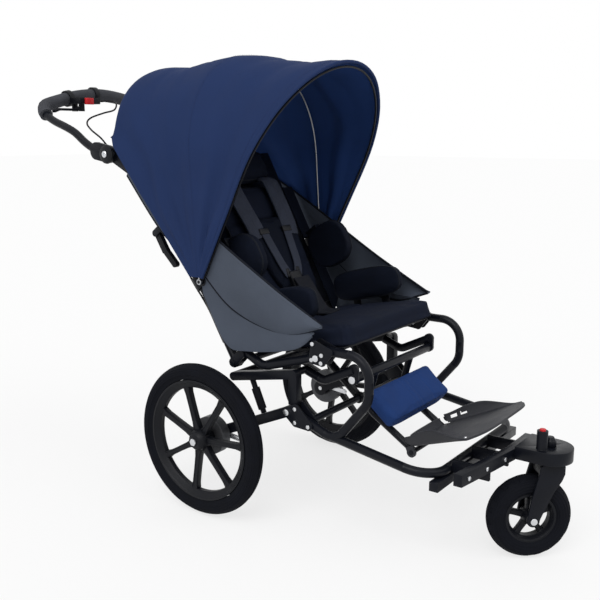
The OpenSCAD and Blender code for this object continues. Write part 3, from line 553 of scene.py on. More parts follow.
def stitches(name: str, path: Sequence[Vector], long: float = 0.0045, gap: float = 0.003) -> Piece:
    """Sews a row of thread stitches along a path.

    Args:
        name: Name of the piece.
        path: Line of the seam in metres.
        long: Length of one stitch in metres.
        gap: Space between two stitches in metres.

    Returns:
        All the stitches as one piece.
    """
    half = 0.0006  # half a thread, in metres
    total = path_length(path)
    points: list[Vector] = []
    faces: list[tuple[int, ...]] = []
    place = gap
    while place + long < total:
        a, b = along(path, place / total), along(path, (place + long) / total)
        run = (b - a).normalized()
        side = run.orthogonal().normalized()
        up = run.cross(side)
        first = len(points)
        middle = (a + b) / 2
        points += [a, b] + [middle + half * d for d in (side, up, -side, -up)]
        for i in range(4):
            j, k = first + 2 + i, first + 2 + (i + 1) % 4
            faces += [(first, k, j), (first + 1, j, k)]
        place += long + gap
    return smoothed(cleaned(drawn(name, points, [], faces), 1e-8), 80)


# Finishes


class Tree:
    """Short way to add and join shader nodes."""

    def __init__(self, tree: bpy.types.NodeTree) -> None:
        """Keeps the tree to add nodes to."""
        self.tree = tree

    def add(self, kind: str, sockets: dict | None = None, **settings: object) -> bpy.types.Node:
        """Adds a node.

        Args:
            kind: Node type.
            sockets: Value or source socket for each input.
            settings: The node's own options.

        Returns:
            The new node.
        """
        node = self.tree.nodes.new(kind)
        for key, value in settings.items():
            setattr(node, key, value)
        for key, value in (sockets or {}).items():
            if isinstance(value, bpy.types.NodeSocket):
                self.tree.links.new(value, node.inputs[key])
            else:
                node.inputs[key].default_value = value
        return node

    def math(self, operation: str, first: object, second: object = 0.0) -> bpy.types.NodeSocket:
        """Result of a sum on two values."""
        return self.add("ShaderNodeMath", {0: first, 1: second}, operation=operation).outputs[0]

    def mix(self, share: object, first: object, second: object) -> bpy.types.NodeSocket:
        """Colour mixed from two by a share."""
        return self.add("ShaderNodeMix", {0: share, 6: first, 7: second}, data_type="RGBA").outputs[2]

    def group(self, group: bpy.types.NodeTree, **sockets: float) -> bpy.types.Node:
        """Places a shared group with its own values."""
        return self.add("ShaderNodeGroup", {key.title(): value for key, value in sockets.items()}, node_tree=group)


def emptied(owner: bpy.types.Material | bpy.types.World) -> Tree:
    """Clears the shader nodes of a material or world for a new start.

    Args:
        owner: The material or world.

    Returns:
        Its empty tree.
    """
    owner.use_nodes = True
    owner.node_tree.nodes.clear()
    return Tree(owner.node_tree)


def seen_by(tree: Tree, *kinds: str) -> bpy.types.NodeSocket:
    """Value that is 1 for the given kinds of ray.

    Args:
        tree: Tree that gets the nodes.
        kinds: Kinds of ray, as the light path node names them.

    Returns:
        The socket with the value.
    """
    rays = tree.add("ShaderNodeLightPath").outputs
    seen = rays[kinds[0]]
    for kind in kinds[1:]:
        seen = tree.math("MAXIMUM", seen, rays[kind])
    return seen


def shared(name: str, inputs: dict[str, float], outputs: Sequence[str]) -> tuple[Tree, bpy.types.NodeOutputs]:
    """Starts a shared shader group.

    Args:
        name: Name of the group.
        inputs: Its inputs with their default values.
        outputs: Its outputs.

    Returns:
        The tree and the values that it is given.
    """
    group = bpy.data.node_groups.new(name, "ShaderNodeTree")
    for key, value in inputs.items():
        group.interface.new_socket(key, in_out="INPUT", socket_type="NodeSocketFloat").default_value = value
    for key in outputs:
        group.interface.new_socket(key, in_out="OUTPUT", socket_type="NodeSocketFloat")
    tree = Tree(group)
    return tree, tree.add("NodeGroupInput").outputs


@cache
def grain_group() -> bpy.types.NodeTree:
    """Soft patches and fine grains, shared by every finish.

    Returns:
        The node group.
    """
    tree, given = shared("patches_and_grains", {"Patches": 12.0, "Grains": 900.0}, ["Patch", "Grain"])
    place = tree.add("ShaderNodeTexCoord").outputs["Object"]
    results = {}
    for scale, detail, result in (("Patches", 5.0, "Patch"), ("Grains", 2.0, "Grain")):
        cloud = tree.add("ShaderNodeTexNoise", {"Vector": place, "Scale": given[scale], "Detail": detail})
        results[result] = tree.add("ShaderNodeMapRange", {0: cloud.outputs[0], 1: 0.3, 2: 0.7}).outputs[0]
    tree.add("NodeGroupOutput", results)
    return tree.tree


@cache
def weave_group() -> bpy.types.NodeTree:
    """Warp and weft of a plain weave, on any side of a piece, with a painted highlight where they cross.

    Returns:
        The node group.
    """
    tree, given = shared("plain_weave", {"Threads": 2500.0}, ["Height", "Crossing"])
    place = tree.add("ShaderNodeSeparateXYZ", {0: tree.add("ShaderNodeTexCoord").outputs["Object"]}).outputs
    warp_place = tree.math("ADD", place[0], place[2])
    up, forward = 0.6, 0.35  # lean of the weft, so that it shows on every side
    weft_place = tree.math("SUBTRACT", place[1], tree.math("MULTIPLY", place[2], up))
    weft_place = tree.math("ADD", weft_place, tree.math("MULTIPLY", place[0], forward))
    warp = tree.math("SINE", tree.math("MULTIPLY", warp_place, given["Threads"]))
    weft = tree.math("SINE", tree.math("MULTIPLY", weft_place, given["Threads"]))
    height = tree.math("MULTIPLY", tree.math("ADD", warp, weft), 0.25)
    # Painted highlight: a mask that is high where warp and weft cross, standing in for light on the threads
    painted_highlight = tree.math("MULTIPLY", tree.math("MULTIPLY", warp, weft), 0.5)
    results = {"Height": tree.math("ADD", height, 0.5), "Crossing": tree.math("ADD", painted_highlight, 0.5)}
    tree.add("NodeGroupOutput", results)
    return tree.tree


@cache
def wear_group() -> bpy.types.NodeTree:
    """Mask of edges that use has rubbed.

    Returns:
        The node group.
    """
    tree, given = shared("rubbed_edges", {"Width": 0.002, "Patches": 60.0}, ["Mask"])
    soft = tree.add("ShaderNodeBevel", {"Radius": given["Width"]}, samples=4).outputs[0]
    true = tree.add("ShaderNodeNewGeometry").outputs["Normal"]
    same = tree.add("ShaderNodeVectorMath", {0: soft, 1: true}, operation="DOT_PRODUCT").outputs["Value"]
    flat, sharp = 0.995, 0.90  # likeness of the soft and the true normal
    edge = tree.add("ShaderNodeMapRange", {0: same, 1: flat, 2: sharp}).outputs[0]
    place = tree.add("ShaderNodeTexCoord").outputs["Object"]
    cloud = tree.add("ShaderNodeTexNoise", {"Vector": place, "Scale": given["Patches"], "Detail": 4.0})
    torn = tree.add("ShaderNodeMapRange", {0: cloud.outputs[0], 1: 0.42, 2: 0.62}).outputs[0]
    tree.add("NodeGroupOutput", {"Mask": tree.math("MULTIPLY", edge, torn)})
    return tree.tree


@dataclass(frozen=True)
class Finish:
    """One material: its colour, its gloss and the pattern that its kind gives it."""

    name: str
    kind: Kind
    colour: Triple
    rough: float
    metal: float = 0.0
    tone: float = 0.16
    patches: float = 14.0
    grains: float = 900.0
    bump: float = 0.25
    relief: float = 0.0004
    wear: float = 0.0
    coat: float = 0.0
    threads: float = 2600.0

    def shade(self, by: float) -> tuple[float, float, float, float]:
        """Its colour, lighter or darker by a factor."""
        return (*(min(c * by, 1.0) for c in self.colour), 1.0)

    @cache
    def material(self) -> bpy.types.Material:
        """Builds the material, once for each finish.

        Returns:
            The material.
        """
        # The first pair sets the painted highlight where threads cross; the second sets the lighter grain specks
        highlight_share, highlight_gain = 0.3, 1.45
        grain_share, grain_light = 0.2, 1.5
        play = 0.07  # how much the gloss varies
        material = bpy.data.materials.new(f"{self.name}_finish")
        tree = emptied(material)
        grain = tree.group(grain_group(), patches=self.patches, grains=self.grains).outputs
        colour = tree.mix(grain["Patch"], self.shade(1 - self.tone), self.shade(1 + self.tone))
        height = grain["Grain"]
        if self.kind in (Kind.CLOTH, Kind.WEBBING):
            weave = tree.group(weave_group(), threads=self.threads).outputs
            # Painted highlight of the weave: the cloth's colour lightens where the threads cross
            share = tree.math("MULTIPLY", weave["Crossing"], highlight_share)
            colour = tree.mix(share, colour, self.shade(highlight_gain))
            height = tree.math("ADD", weave["Height"], tree.math("MULTIPLY", grain["Grain"], 0.5))
        else:
            colour = tree.mix(tree.math("MULTIPLY", grain["Grain"], grain_share), colour, self.shade(grain_light))
        if self.wear:
            worn = tree.group(wear_group()).outputs["Mask"]
            bare = tuple(min(c * 2.2 + 0.06, 1.0) for c in self.colour) + (1.0,)
            colour = tree.mix(tree.math("MULTIPLY", worn, self.wear), colour, bare)
        gloss = tree.add("ShaderNodeMapRange", {0: grain["Patch"], 3: self.rough - play, 4: self.rough + play})
        bump = tree.add("ShaderNodeBump", {"Height": height, "Strength": self.bump, "Distance": self.relief})
        skin = tree.add(
            "ShaderNodeBsdfPrincipled",
            {
                "Base Color": colour, "Roughness": gloss.outputs[0], "Normal": bump.outputs[0],
                "Metallic": self.metal, "Coat Weight": self.coat, "Specular IOR Level": self.kind.gloss,
            },
        )
        tree.add("ShaderNodeOutputMaterial", {"Surface": skin.outputs[0]})
        return material


HOOD_CLOTH = Finish("hood_cloth", Kind.CLOTH, (0.0140, 0.0275, 0.0840), 0.78, tone=0.10, patches=6)
HOOD_LINING = Finish("hood_lining", Kind.CLOTH, (0.0150, 0.0390, 0.1350), 0.84, tone=0.12, patches=6)
CALF_CLOTH = Finish("calf_cloth", Kind.CLOTH, (0.0125, 0.0345, 0.1250), 0.74, tone=0.10, patches=20)
PANEL_CLOTH = Finish("panel_cloth", Kind.CLOTH, (0.0600, 0.0710, 0.0940), 0.88, tone=0.12, patches=9)
SEAT_CLOTH = Finish("seat_cloth", Kind.CLOTH, (0.0064, 0.0088, 0.0180), 0.88, tone=0.2, patches=16)
VEST_CLOTH = Finish("vest_cloth", Kind.CLOTH, (0.0042, 0.0060, 0.0125), 0.84, tone=0.2, patches=24)
PIPING = Finish("piping", Kind.WEBBING, (0.0060, 0.0075, 0.0120), 0.7, patches=40, threads=3600)
STRAP_WEBBING = Finish(
    "strap_webbing", Kind.WEBBING, (0.030, 0.035, 0.052), 0.78, patches=40, threads=3200, relief=0.0006
)
DARK_WEBBING = Finish("dark_webbing", Kind.WEBBING, (0.0070, 0.0080, 0.0120), 0.74, patches=40, threads=3200)
THREAD = Finish("thread", Kind.WEBBING, (0.016, 0.028, 0.080), 0.6, patches=60, threads=6000)
GREY_THREAD = Finish("grey_thread", Kind.WEBBING, (0.050, 0.056, 0.068), 0.6, patches=60, threads=6000)
FRAME_PAINT = Finish("frame_paint", Kind.PAINT, (0.0040, 0.0048, 0.0080), 0.36, grains=1400, bump=0.12, wear=0.12)
TYRE_RUBBER = Finish("tyre_rubber", Kind.RUBBER, (0.0046, 0.0052, 0.0078), 0.74, tone=0.25, patches=24, bump=0.3)
WHEEL_PLASTIC = Finish("wheel_plastic", Kind.PLASTIC, (0.0036, 0.0042, 0.0066), 0.44, grains=1600, wear=0.08)
BLACK_PLASTIC = Finish("black_plastic", Kind.PLASTIC, (0.0040, 0.0046, 0.0070), 0.42, grains=1800, wear=0.1)
FOOT_PLASTIC = Finish("foot_plastic", Kind.PLASTIC, (0.027, 0.028, 0.033), 0.50, grains=1500, bump=0.3, wear=0.1)
RED_PLASTIC = Finish("red_plastic", Kind.PLASTIC, (0.52, 0.022, 0.028), 0.36, tone=0.1, grains=1600, wear=0.1)
BRIGHT_STEEL = Finish("bright_steel", Kind.METAL, (0.62, 0.63, 0.65), 0.28, 1.0, tone=0.08, patches=60, bump=0.1)
BOW_STEEL = Finish("bow_steel", Kind.METAL, (0.40, 0.41, 0.43), 0.34, 1.0, tone=0.08, patches=60, bump=0.08)
CHROME = Finish("rod_chrome", Kind.METAL, (0.68, 0.69, 0.70), 0.14, 1.0, tone=0.05, patches=80, bump=0.04)
DRUM_METAL = Finish("drum_metal", Kind.METAL, (0.06, 0.062, 0.068), 0.48, 0.6, patches=50, bump=0.35, wear=0.2)
GAS_PAINT = Finish("gas_paint", Kind.PAINT, (0.0040, 0.0045, 0.0070), 0.30, grains=1400, bump=0.08, coat=0.1)
STRUT_RUBBER = Finish("strut_rubber", Kind.RUBBER, (0.0060, 0.0065, 0.0085), 0.68, patches=40)
GRIP_FOAM = Finish("grip_foam", Kind.FOAM, (0.052, 0.054, 0.062), 0.88, grains=700, bump=0.6, relief=0.0008)
CABLE_JACKET = Finish("cable_jacket", Kind.RUBBER, (0.0045, 0.0048, 0.0065), 0.46, grains=1200, bump=0.1)


def dressed(piece: Piece, finish: Finish, body: str | None, slot: str, *nodes: str) -> Piece:
    """Gives a piece its finish, the body that carries it and the solids that it stands for.

    Args:
        piece: The finished mesh.
        finish: Its material.
        body: Body that it rides on, or None for a piece on no body.
        slot: The record's material slot; not used.
        nodes: Solids that it replaces.

    Returns:
        The same piece.
    """
    piece.data.materials.clear()
    piece.data.materials.append(finish.material())
    if body:
        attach(piece, body)
    if nodes:
        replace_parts(piece, *nodes)
    LOG.info("%s: %d faces", piece.name, len(piece.data.polygons))
    return piece


# Camera, light and floor


@dataclass
class Studio:
    """Camera of the photograph, soft light and a pale floor."""

    at: Triple = (1.3271, -1.7903, 0.9686)
    turn: Triple = (78.65, 0.0, 36.09)
    lens: float = 49.93
    sky: float = 0.62
    key: float = 1.5
    fill: float = 0.5
    softness: float = 40.0
    glow: float = 0.72

    def build(self) -> None:
        """Sets up the camera, the lamps, the world and the floor."""
        self._camera()
        self._sun("key_light", self.key, (42, 0, 14))
        self._sun("fill_light", self.fill, (50, 0, 100))
        self._world()
        self._floor()
        bpy.context.scene.view_settings.view_transform = "Standard"

    def _camera(self) -> None:
        """Places the camera."""
        lens = bpy.data.cameras.new("camera")
        lens.lens = self.lens
        lens.sensor_width = 36
        camera = bpy.data.objects.new("camera", lens)
        camera.location = self.at
        camera.rotation_euler = [math.radians(a) for a in self.turn]
        bpy.context.scene.collection.objects.link(camera)
        bpy.context.scene.camera = camera

    def _sun(self, name: str, strength: float, turn: Triple) -> None:
        """Adds one soft lamp.

        Args:
            name: Name of the lamp.
            strength: Its strength.
            turn: Its turn in degrees.
        """
        light = bpy.data.lights.new(name, "SUN")
        light.energy = strength
        light.angle = math.radians(self.softness)
        lamp = bpy.data.objects.new(name, light)
        lamp.rotation_euler = [math.radians(a) for a in turn]
        bpy.context.scene.collection.objects.link(lamp)

    def _world(self) -> None:
        """Lights from all round, and shows white where the camera or a gloss looks past the object."""
        world = bpy.data.worlds.new("studio")
        bpy.context.scene.world = world
        tree = emptied(world)
        seen = seen_by(tree, "Is Camera Ray", "Is Glossy Ray", "Is Transmission Ray")
        soft = tree.add("ShaderNodeBackground", {"Color": (1, 1, 1, 1), "Strength": self.sky}).outputs[0]
        white = tree.add("ShaderNodeBackground", {"Color": (1, 1, 1, 1), "Strength": 1.0}).outputs[0]
        mix = tree.add("ShaderNodeMixShader", {0: seen, 1: soft, 2: white}).outputs[0]
        tree.add("ShaderNodeOutputWorld", {"Surface": mix})

    def _floor(self) -> None:
        """Lays a pale floor that keeps the shadow."""
        clear()
        bpy.ops.mesh.primitive_plane_add(size=60)
        floor = started("studio_floor")
        material = bpy.data.materials.new("pale_floor")
        tree = emptied(material)
        seen = seen_by(tree, "Is Camera Ray", "Is Glossy Ray")
        matt = tree.add("ShaderNodeBsdfDiffuse", {"Color": (0.86, 0.86, 0.86, 1)}).outputs[0]
        white = tree.add("ShaderNodeEmission", {"Color": (1, 1, 1, 1), "Strength": 1.0}).outputs[0]
        share = tree.math("MULTIPLY", seen, self.glow)
        mix = tree.add("ShaderNodeMixShader", {0: share, 1: matt, 2: white}).outputs[0]
        tree.add("ShaderNodeOutputMaterial", {"Surface": mix})
        floor.data.materials.append(material)


# Cables


@dataclass
class BrakeCable:
    """Cable from the brake lever, in a free loop and then down behind the right back tube."""

    thick: float = 5.0
    loop: tuple[Triple, ...] = (
        (-640, -49.4, 1063), (-640, -35, 1063), (-616, -20, 1064), (-574, -32, 1056), (-552, -60, 1036),
        (-564, -92, 1026), (-578, -128, 1012), (-560, -158, 996), (-512, -184, 977), (-455, -200, 955),
        (-415, -210, 932), (-383, -214, 914.5),
    )
    hinge: tuple[Triple, ...] = ((-373, -214, 909), (-345, -216, 893), (-305, -222, 846))
    tube_line: tuple[Pair, ...] = (
        (338, 15.3), (290, 13.8), (200, 13.8), (110, 13.8), (84, 13.8), (56, 18.8), (27, 20.3),
    )
    low_line: tuple[Pair, ...] = ((-10, 18.3), (-50, 13.8), (-95, 13.8), (-140, 13.8))

    def build(self) -> None:
        """Makes both runs of the cable."""
        self._run("brake_cable_loop", [spot(*p) for p in self.loop], "handle", "brake_cable")
        route = [spot(*p) for p in self.hinge]
        above = Vector((-math.sin(BACK_LEAN), math.cos(BACK_LEAN)))
        below = (BACK_BEND - BACK_HINGE).normalized()
        for way, line in ((above, self.tube_line), (below, self.low_line)):
            for up, behind in line:
                at = BACK_BEND + way * up + Vector((-way.y, way.x)) * behind
                route.append(spot(at.x, -FRAME_Y, at.y))
        self._run("brake_cable_down", route, "back", "cable_back")

    def _run(self, name: str, points: list[Vector], body: str, node: str) -> None:
        """Makes one run.

        Args:
            name: Name of the piece.
            points: Points of its route.
            body: Body that it rides on.
            node: Solid that it replaces.
        """
        path = eased(points)
        cable = dressed(rod(name, path, self.thick / 2000, 4), CABLE_JACKET, body, "cable_jacket", node)
        tuple(path[0])
        path_length(path)
        [tuple(p) for p in path]


# Wheels


@dataclass
class Wheel:
    """A tyre with ribs and tread blocks on a spoked rim, turning on the y axis of its own frame."""

    radius: float
    width: float
    rim: float
    ring: float
    spokes: int
    first: float
    hub: float
    hub_low: float
    hub_high: float
    bore: float
    blade: Triple
    steps: int = 112

    def tyre(self, name: str, where: Matrix) -> Piece:
        """Turns the tyre and cuts its shoulder blocks.

        Args:
            name: Name of the piece.
            where: Frame of the wheel.

        Returns:
            The tyre.
        """
        half = self.width / 2
        core = self.radius - half
        bead = half * 0.76
        side = half + 0.6
        groove_at, groove = 14, -1.8
        ribs, rib = (58, 74, 90, 106), 1.0
        near = 3  # half width of a groove or rib, in degrees
        profile = [(self.rim, -bead)]
        for degrees in range(-124, 125, 4):
            a = math.radians(degrees)
            reach = half
            if abs(abs(degrees) - groove_at) < near:
                reach += groove
            if any(abs(abs(degrees) - r) < near for r in ribs):
                reach += rib
            out = max(core + reach * math.cos(a), self.rim + 2)
            profile.append((out, min(max(reach * math.sin(a), -side), side)))
        profile.append((self.rim, bead))
        tyre = lathed(name, profile, self.steps, Matrix.Identity(4))
        low, high = 22, 46  # where the shoulder blocks lie, in degrees from the tread's middle

        def shoulder(face: bpy.types.MeshPolygon) -> bool:
            """Whether a face lies in the space between two shoulder blocks.

            Args:
                face: Face of the tyre.

            Returns:
                True where it does.
            """
            middle = face.center * 1000
            out = math.degrees(math.atan2(abs(middle.y), math.hypot(middle.x, middle.z) - core))
            step = int((math.atan2(middle.z, middle.x) / math.tau + 1) * self.steps + 0.01)
            return low < out < high and step % 4 < 2

        return placed(smoothed(sunk(tyre, shoulder, 0.0012, 0.0016), 32), where)

    def wheel(self, name: str, out: int, where: Matrix) -> Piece:
        """Builds the rim's ring, blade spokes and hub.

        Args:
            name: Name of the piece.
            out: Sign of the outer side along y.
            where: Frame of the wheel.

        Returns:
            The rim in one piece.
        """
        wide = self.width * 0.38
        inner = self.rim - self.ring
        ring = [(self.rim, -wide), (self.rim, wide), (self.rim - 5, wide + 0.6), (self.rim - 8, wide - 3)]
        ring += [(inner + 3, wide - 7), (inner, wide - 11), (inner, 11 - wide), (inner + 3, 7 - wide)]
        ring += [(self.rim - 8, 3 - wide), (self.rim - 5, -wide - 0.6)]
        pieces = [lathed("ring", ring, 96, Matrix.Identity(4))]
        low, high, r = -self.hub_low, self.hub_high, self.hub
        shell = [(self.bore, low), (r * 0.8, low), (r * 0.92, low + 4), (r, low * 0.4), (r * 1.12, 0)]
        shell += [(r, high * 0.45), (r * 0.86, high * 0.75), (r * 0.7, high - 1.5), (r * 0.6, high), (self.bore, high)]
        pieces.append(lathed("hub", [(a, b * out) for a, b in shell], 48, Matrix.Identity(4)))
        root, middle, thick = self.blade
        start, stop = r - 6, inner + 3
        span = stop - start
        edge = [(start, root), (start + span * 0.22, middle * 1.08), (start + span * 0.55, middle)]
        edge += [(start + span * 0.85, middle * 1.05), (stop, middle * 1.5)]
        outline = [(x, -z) for x, z in edge] + [(x, z) for x, z in reversed(edge)]

        def flat(face: bpy.types.MeshPolygon) -> bool:
            """Whether a face is one of a spoke's two broad sides."""
            return abs(face.normal.y) > 0.99 and face.area > 1e-4

        for i in range(self.spokes):
            spoke = sunk(cut_out("spoke", outline, -thick, thick, 2.6), flat, 0.0018, 0.0018, each=True)
            turn = math.radians(self.first + 360 * i / self.spokes)
            pieces.append(placed(spoke, Matrix.Rotation(-turn, 4, "Y")))
        return placed(smoothed(joined(name, pieces), 36), where)


@dataclass
class RearWheels:
    """Both large rear wheels."""

    track: float = 307.0
    wheel: Wheel = field(
        default_factory=lambda: Wheel(
            radius=200, width=44, rim=158, ring=21, spokes=7, first=4.3, hub=27, hub_low=28, hub_high=26, bore=9.2,
            blade=(11.5, 7.2, 9),
        )
    )

    def build(self) -> None:
        """Makes the tyre and rim of each side."""
        for side in Side:
            where = Matrix.Translation(spot(0, side.value * self.track, self.wheel.radius))
            body = f"wheel_{side.word}"
            tyre = self.wheel.tyre(f"rear_tyre_{side.word}", where)
            dressed(tyre, TYRE_RUBBER, body, "tyre_rubber", f"tyre_{side.word}")
            rim = self.wheel.wheel(f"rear_rim_{side.word}", side.value, where)
            dressed(rim, WHEEL_PLASTIC, body, "wheel_plastic", f"rim_{side.word}")


@dataclass
class Caster:
    """Front caster: small wheel in a swivelling fork."""

    stem: float = 797.0
    turn: float = 41.0
    trail: float = 42.0
    leg_in: float = 28.0
    leg_out: float = 36.5
    wheel: Wheel = field(
        default_factory=lambda: Wheel(
            radius=100, width=50, rim=60, ring=12, spokes=5, first=20, hub=17, hub_low=27.5, hub_high=27.5, bore=5.2,
            blade=(9, 6.5, 8), steps=80,
        )
    )

    def frame(self) -> Matrix:
        """Frame of the swivel, on the floor under the stem."""
        return Matrix.Translation(spot(self.stem, 0, 0)) @ Matrix.Rotation(math.radians(self.turn), 4, "Z")

    def build(self) -> None:
        """Makes the wheel and the fork's shaped legs."""
        where = self.frame() @ Matrix.Translation((-self.trail / 1000, 0, self.wheel.radius / 1000))
        tyre = self.wheel.tyre("caster_tyre_ribbed", where)
        dressed(tyre, TYRE_RUBBER, "caster_wheel", "tyre_rubber", "caster_tyre")
        rim = self.wheel.wheel("caster_rim_spoked", 1, where)
        dressed(rim, WHEEL_PLASTIC, "caster_wheel", "wheel_plastic", "caster_rim")
        boss_r = 15
        turns = [math.radians(degrees) for degrees in range(170, 375, 15)]
        boss = [(boss_r * math.cos(a) - self.trail, boss_r * math.sin(a) + self.wheel.radius) for a in turns]
        outline = boss + [(-10, 150), (20, 196), (26, 212), (26, 232), (-32, 232), (-34, 212), (-50, 150)]
        for side in Side:
            ends = sorted((side.value * self.leg_in, side.value * self.leg_out))
            leg = placed(smoothed(cut_out(f"fork_leg_{side.word}", outline, *ends, 2.5)), self.frame())
            dressed(leg, FRAME_PAINT, "caster", "frame_paint")


# Hood


class Hoop(Enum):
    """The hood's three hoops: top height in mm and roundness of the arch."""

    REAR = (1146.0, 0.75)
    MIDDLE = (1172.0, 0.9)
    FRONT = (1141.0, 1.0)


@dataclass
class Hood:
    """One continuous sheet of cloth over the bows, its rear panel, bindings and bows."""

    half: float = 275.0
    low: float = 612.0
    wall: float = -340.0
    pivot: Pair = (-28.0, 600.0)
    thick: float = 2.5
    corner: float = 26.0
    sag: float = 7.0
    crease: float = 5.0
    leg: float = 0.3
    lean: float = 0.06
    front_lean: float = 0.5
    fixed_x: float = -254.0
    free_x: float = 160.6

    def hoop(self, hoop: Hoop, t: float, inset: float = 0.0) -> Vector:
        """Point on one hoop.

        Args:
            hoop: Which hoop.
            t: Share from the right foot over the top to the left foot.
            inset: Distance inside the cloth, in mm.

        Returns:
            The point in mm from the rear axle.
        """
        top, square = hoop.value
        half = self.half - inset
        spring = top - inset - half
        a = min(max((t - self.leg) / (1 - 2 * self.leg), 0), 1) * math.pi
        y = -half * math.copysign(abs(math.cos(a)) ** square, math.cos(a))
        z = spring + half * abs(math.sin(a)) ** square
        if min(t, 1 - t) < self.leg:
            z = self.low + (spring - self.low) * min(t, 1 - t) / self.leg
        if hoop is Hoop.REAR:
            x = max(self.wall, BACK_BEND.x - (z - BACK_BEND.y) * math.tan(BACK_LEAN) + 18)
        elif hoop is Hoop.MIDDLE:
            x = self.pivot[0] - self.lean * (z - self.pivot[1])
        else:
            x = self.pivot[0] + 8 + self.front_lean * (z - self.pivot[1])
        return Vector((x, y, z))

    def outwards(self, at: Vector) -> Vector:
        """Direction out of the hood at a point."""
        return Vector((0, at.y, max(at.z - Hoop.MIDDLE.value[0] + self.half, 0))).normalized()

    def point(self, s: float, t: float) -> Vector:
        """Point of the cloth.

        Args:
            s: Share from the rear hoop to the front one.
            t: Share from the right foot over the top to the left foot.

        Returns:
            The point, in metres.
        """
        first, second = (Hoop.REAR, Hoop.MIDDLE) if s <= 0.5 else (Hoop.MIDDLE, Hoop.FRONT)
        k = s * 2 if s <= 0.5 else s * 2 - 1
        at = self.hoop(first, t).lerp(self.hoop(second, t), k)
        out = self.outwards(at)
        slack = math.sin(math.pi * k)
        rise = ramp(at.z, 650, 860)
        fan = math.atan2(at.z - self.pivot[1], at.x - self.pivot[0])
        drift = noise.noise(at * 0.006)
        broad, narrow = 13, 29  # folds that fan out from the pivot
        fold = math.sin(fan * broad + 4 * drift) + 0.7 * math.sin(fan * narrow + at.y * 0.011 + 3 * drift) ** 3
        in_by = slack * (self.sag * rise - self.crease * fold * ramp(at.z, 615, 720))
        in_by += 1.6 * noise.noise(at * 0.013) * rise
        step = self.corner - (at.x - self.wall)
        shoulder = 930  # the rear corner is rounded above this height
        if step > 0 and at.z > shoulder:
            in_by += (self.corner - math.sqrt(self.corner**2 - step**2)) * ramp(at.z, shoulder, shoulder + 60)
        return spot(*(at - out * in_by))

    def bent(self, piece: Piece, finish: Finish, *nodes: str) -> Piece:
        """Dresses a piece of the hood with no body of its own, and bakes its place into its mesh.

        Args:
            piece: The finished mesh.
            finish: Its material.
            nodes: Solids that it replaces.

        Returns:
            The same piece.
        """
        dressed(piece, finish, None, "hood_fabric", *nodes)
        level = 900.0
        rise = self.lean * (self.free_x - self.fixed_x)
        start, end = spot(self.fixed_x, 0, level), spot(self.free_x, 0, level + rise)
        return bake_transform(piece)

    def _seam(self, name: str, s: float, hoop: Hoop) -> None:
        """Sews stitches over the arch.

        Args:
            name: Name of the stitches.
            s: Share from the rear hoop to the front one.
            hoop: Hoop that they are near.
        """
        shares = [i / 200 for i in range(201)]
        path = [self.point(s, t) + self.outwards(self.hoop(hoop, t)) * 0.0004 for t in shares]
        self.bent(stitches(name, path), THREAD)

    def build(self) -> None:
        """Makes the cloth, its bindings, seams, rear panel and bows."""
        # The power packs the rows towards the rounded rear corner
        cloth = spread("hood_cloth_sheet", lambda s, t: self.point(s**1.25, t), 44, 132)
        over = path_length([self.point(0.5, i / 60) for i in range(61)])
        front = path_length([self.point(i / 40, 0.5) for i in range(41)])
        thickened(cloth, self.thick / 1000, self.inward(cloth))
        self.bent(cloth, HOOD_CLOTH, "canopy_rear", "canopy_front")
        self._line(cloth)
        edge = [self.point(1, i / 96) for i in range(97)]
        self.bent(rod("hood_front_binding", edge, 0.0042), HOOD_CLOTH)
        self._seam("hood_front_stitches", 0.955, Hoop.FRONT)
        self._seam("hood_middle_stitches", 0.5, Hoop.MIDDLE)
        self._panel()
        self._bow("hood_middle_bow", Hoop.MIDDLE, 5.5, BOW_STEEL, "hood_mid", "bow_mid", "bow_steel")
        self._bow("hood_front_bow", Hoop.FRONT, 12.0, FRAME_PAINT, "hood_front", "bow_front", "frame_paint")

    def _line(self, cloth: Piece) -> None:
        """Gives the cloth's inner face its bluer lining.

        Args:
            cloth: The hood's cloth.
        """
        cloth.data.materials.append(HOOD_LINING.material())
        for face in cloth.data.polygons:
            face.material_index = int(face.normal.dot(self.outwards(face.center * 1000)) < 0)

    def inward(self, cloth: Piece) -> float:
        """Side of a sheet that its thickness goes to, so that it grows inwards."""
        face = max(cloth.data.polygons, key=lambda f: f.center.z)
        return -1.0 if face.normal.z > 0 else 1.0

    def _panel(self) -> None:
        """Makes the panel that closes the hood at the rear."""
        low, top = 920.0, 1143.0
        foot, foot_wide, foot_out = 38.0, 200.0, 68.0
        high, square = Hoop.REAR.value
        spring = high - self.half

        def place(s: float, t: float) -> Vector:
            """Point of the panel.

            Args:
                s: Share across.
                t: Share up.

            Returns:
                The point, in metres.
            """
            z = low + (top - low) * t
            if z < low + foot:
                wide = foot_wide + (z - low) / foot * foot_out
            else:
                sine = min((z - spring) / self.half, 1) ** (1 / square)
                wide = (self.half - 4) * max(1 - sine**2, 0) ** (square / 2) - self.corner * 0.55
            wide = max(wide, 60)
            bulge = 5 * math.sin(math.pi * s) * math.sin(math.pi * t)
            ripple = 1.2 * noise.noise(Vector((s * 6, t * 4, 3)))
            return spot(self.wall + 1.2 - bulge + ripple, (2 * s - 1) * wide, z)

        panel = spread("hood_rear_panel", place, 40, 24)
        thickened(panel, self.thick / 1000)
        dressed(panel, HOOD_CLOTH, "back", "hood_fabric", "canopy_back")

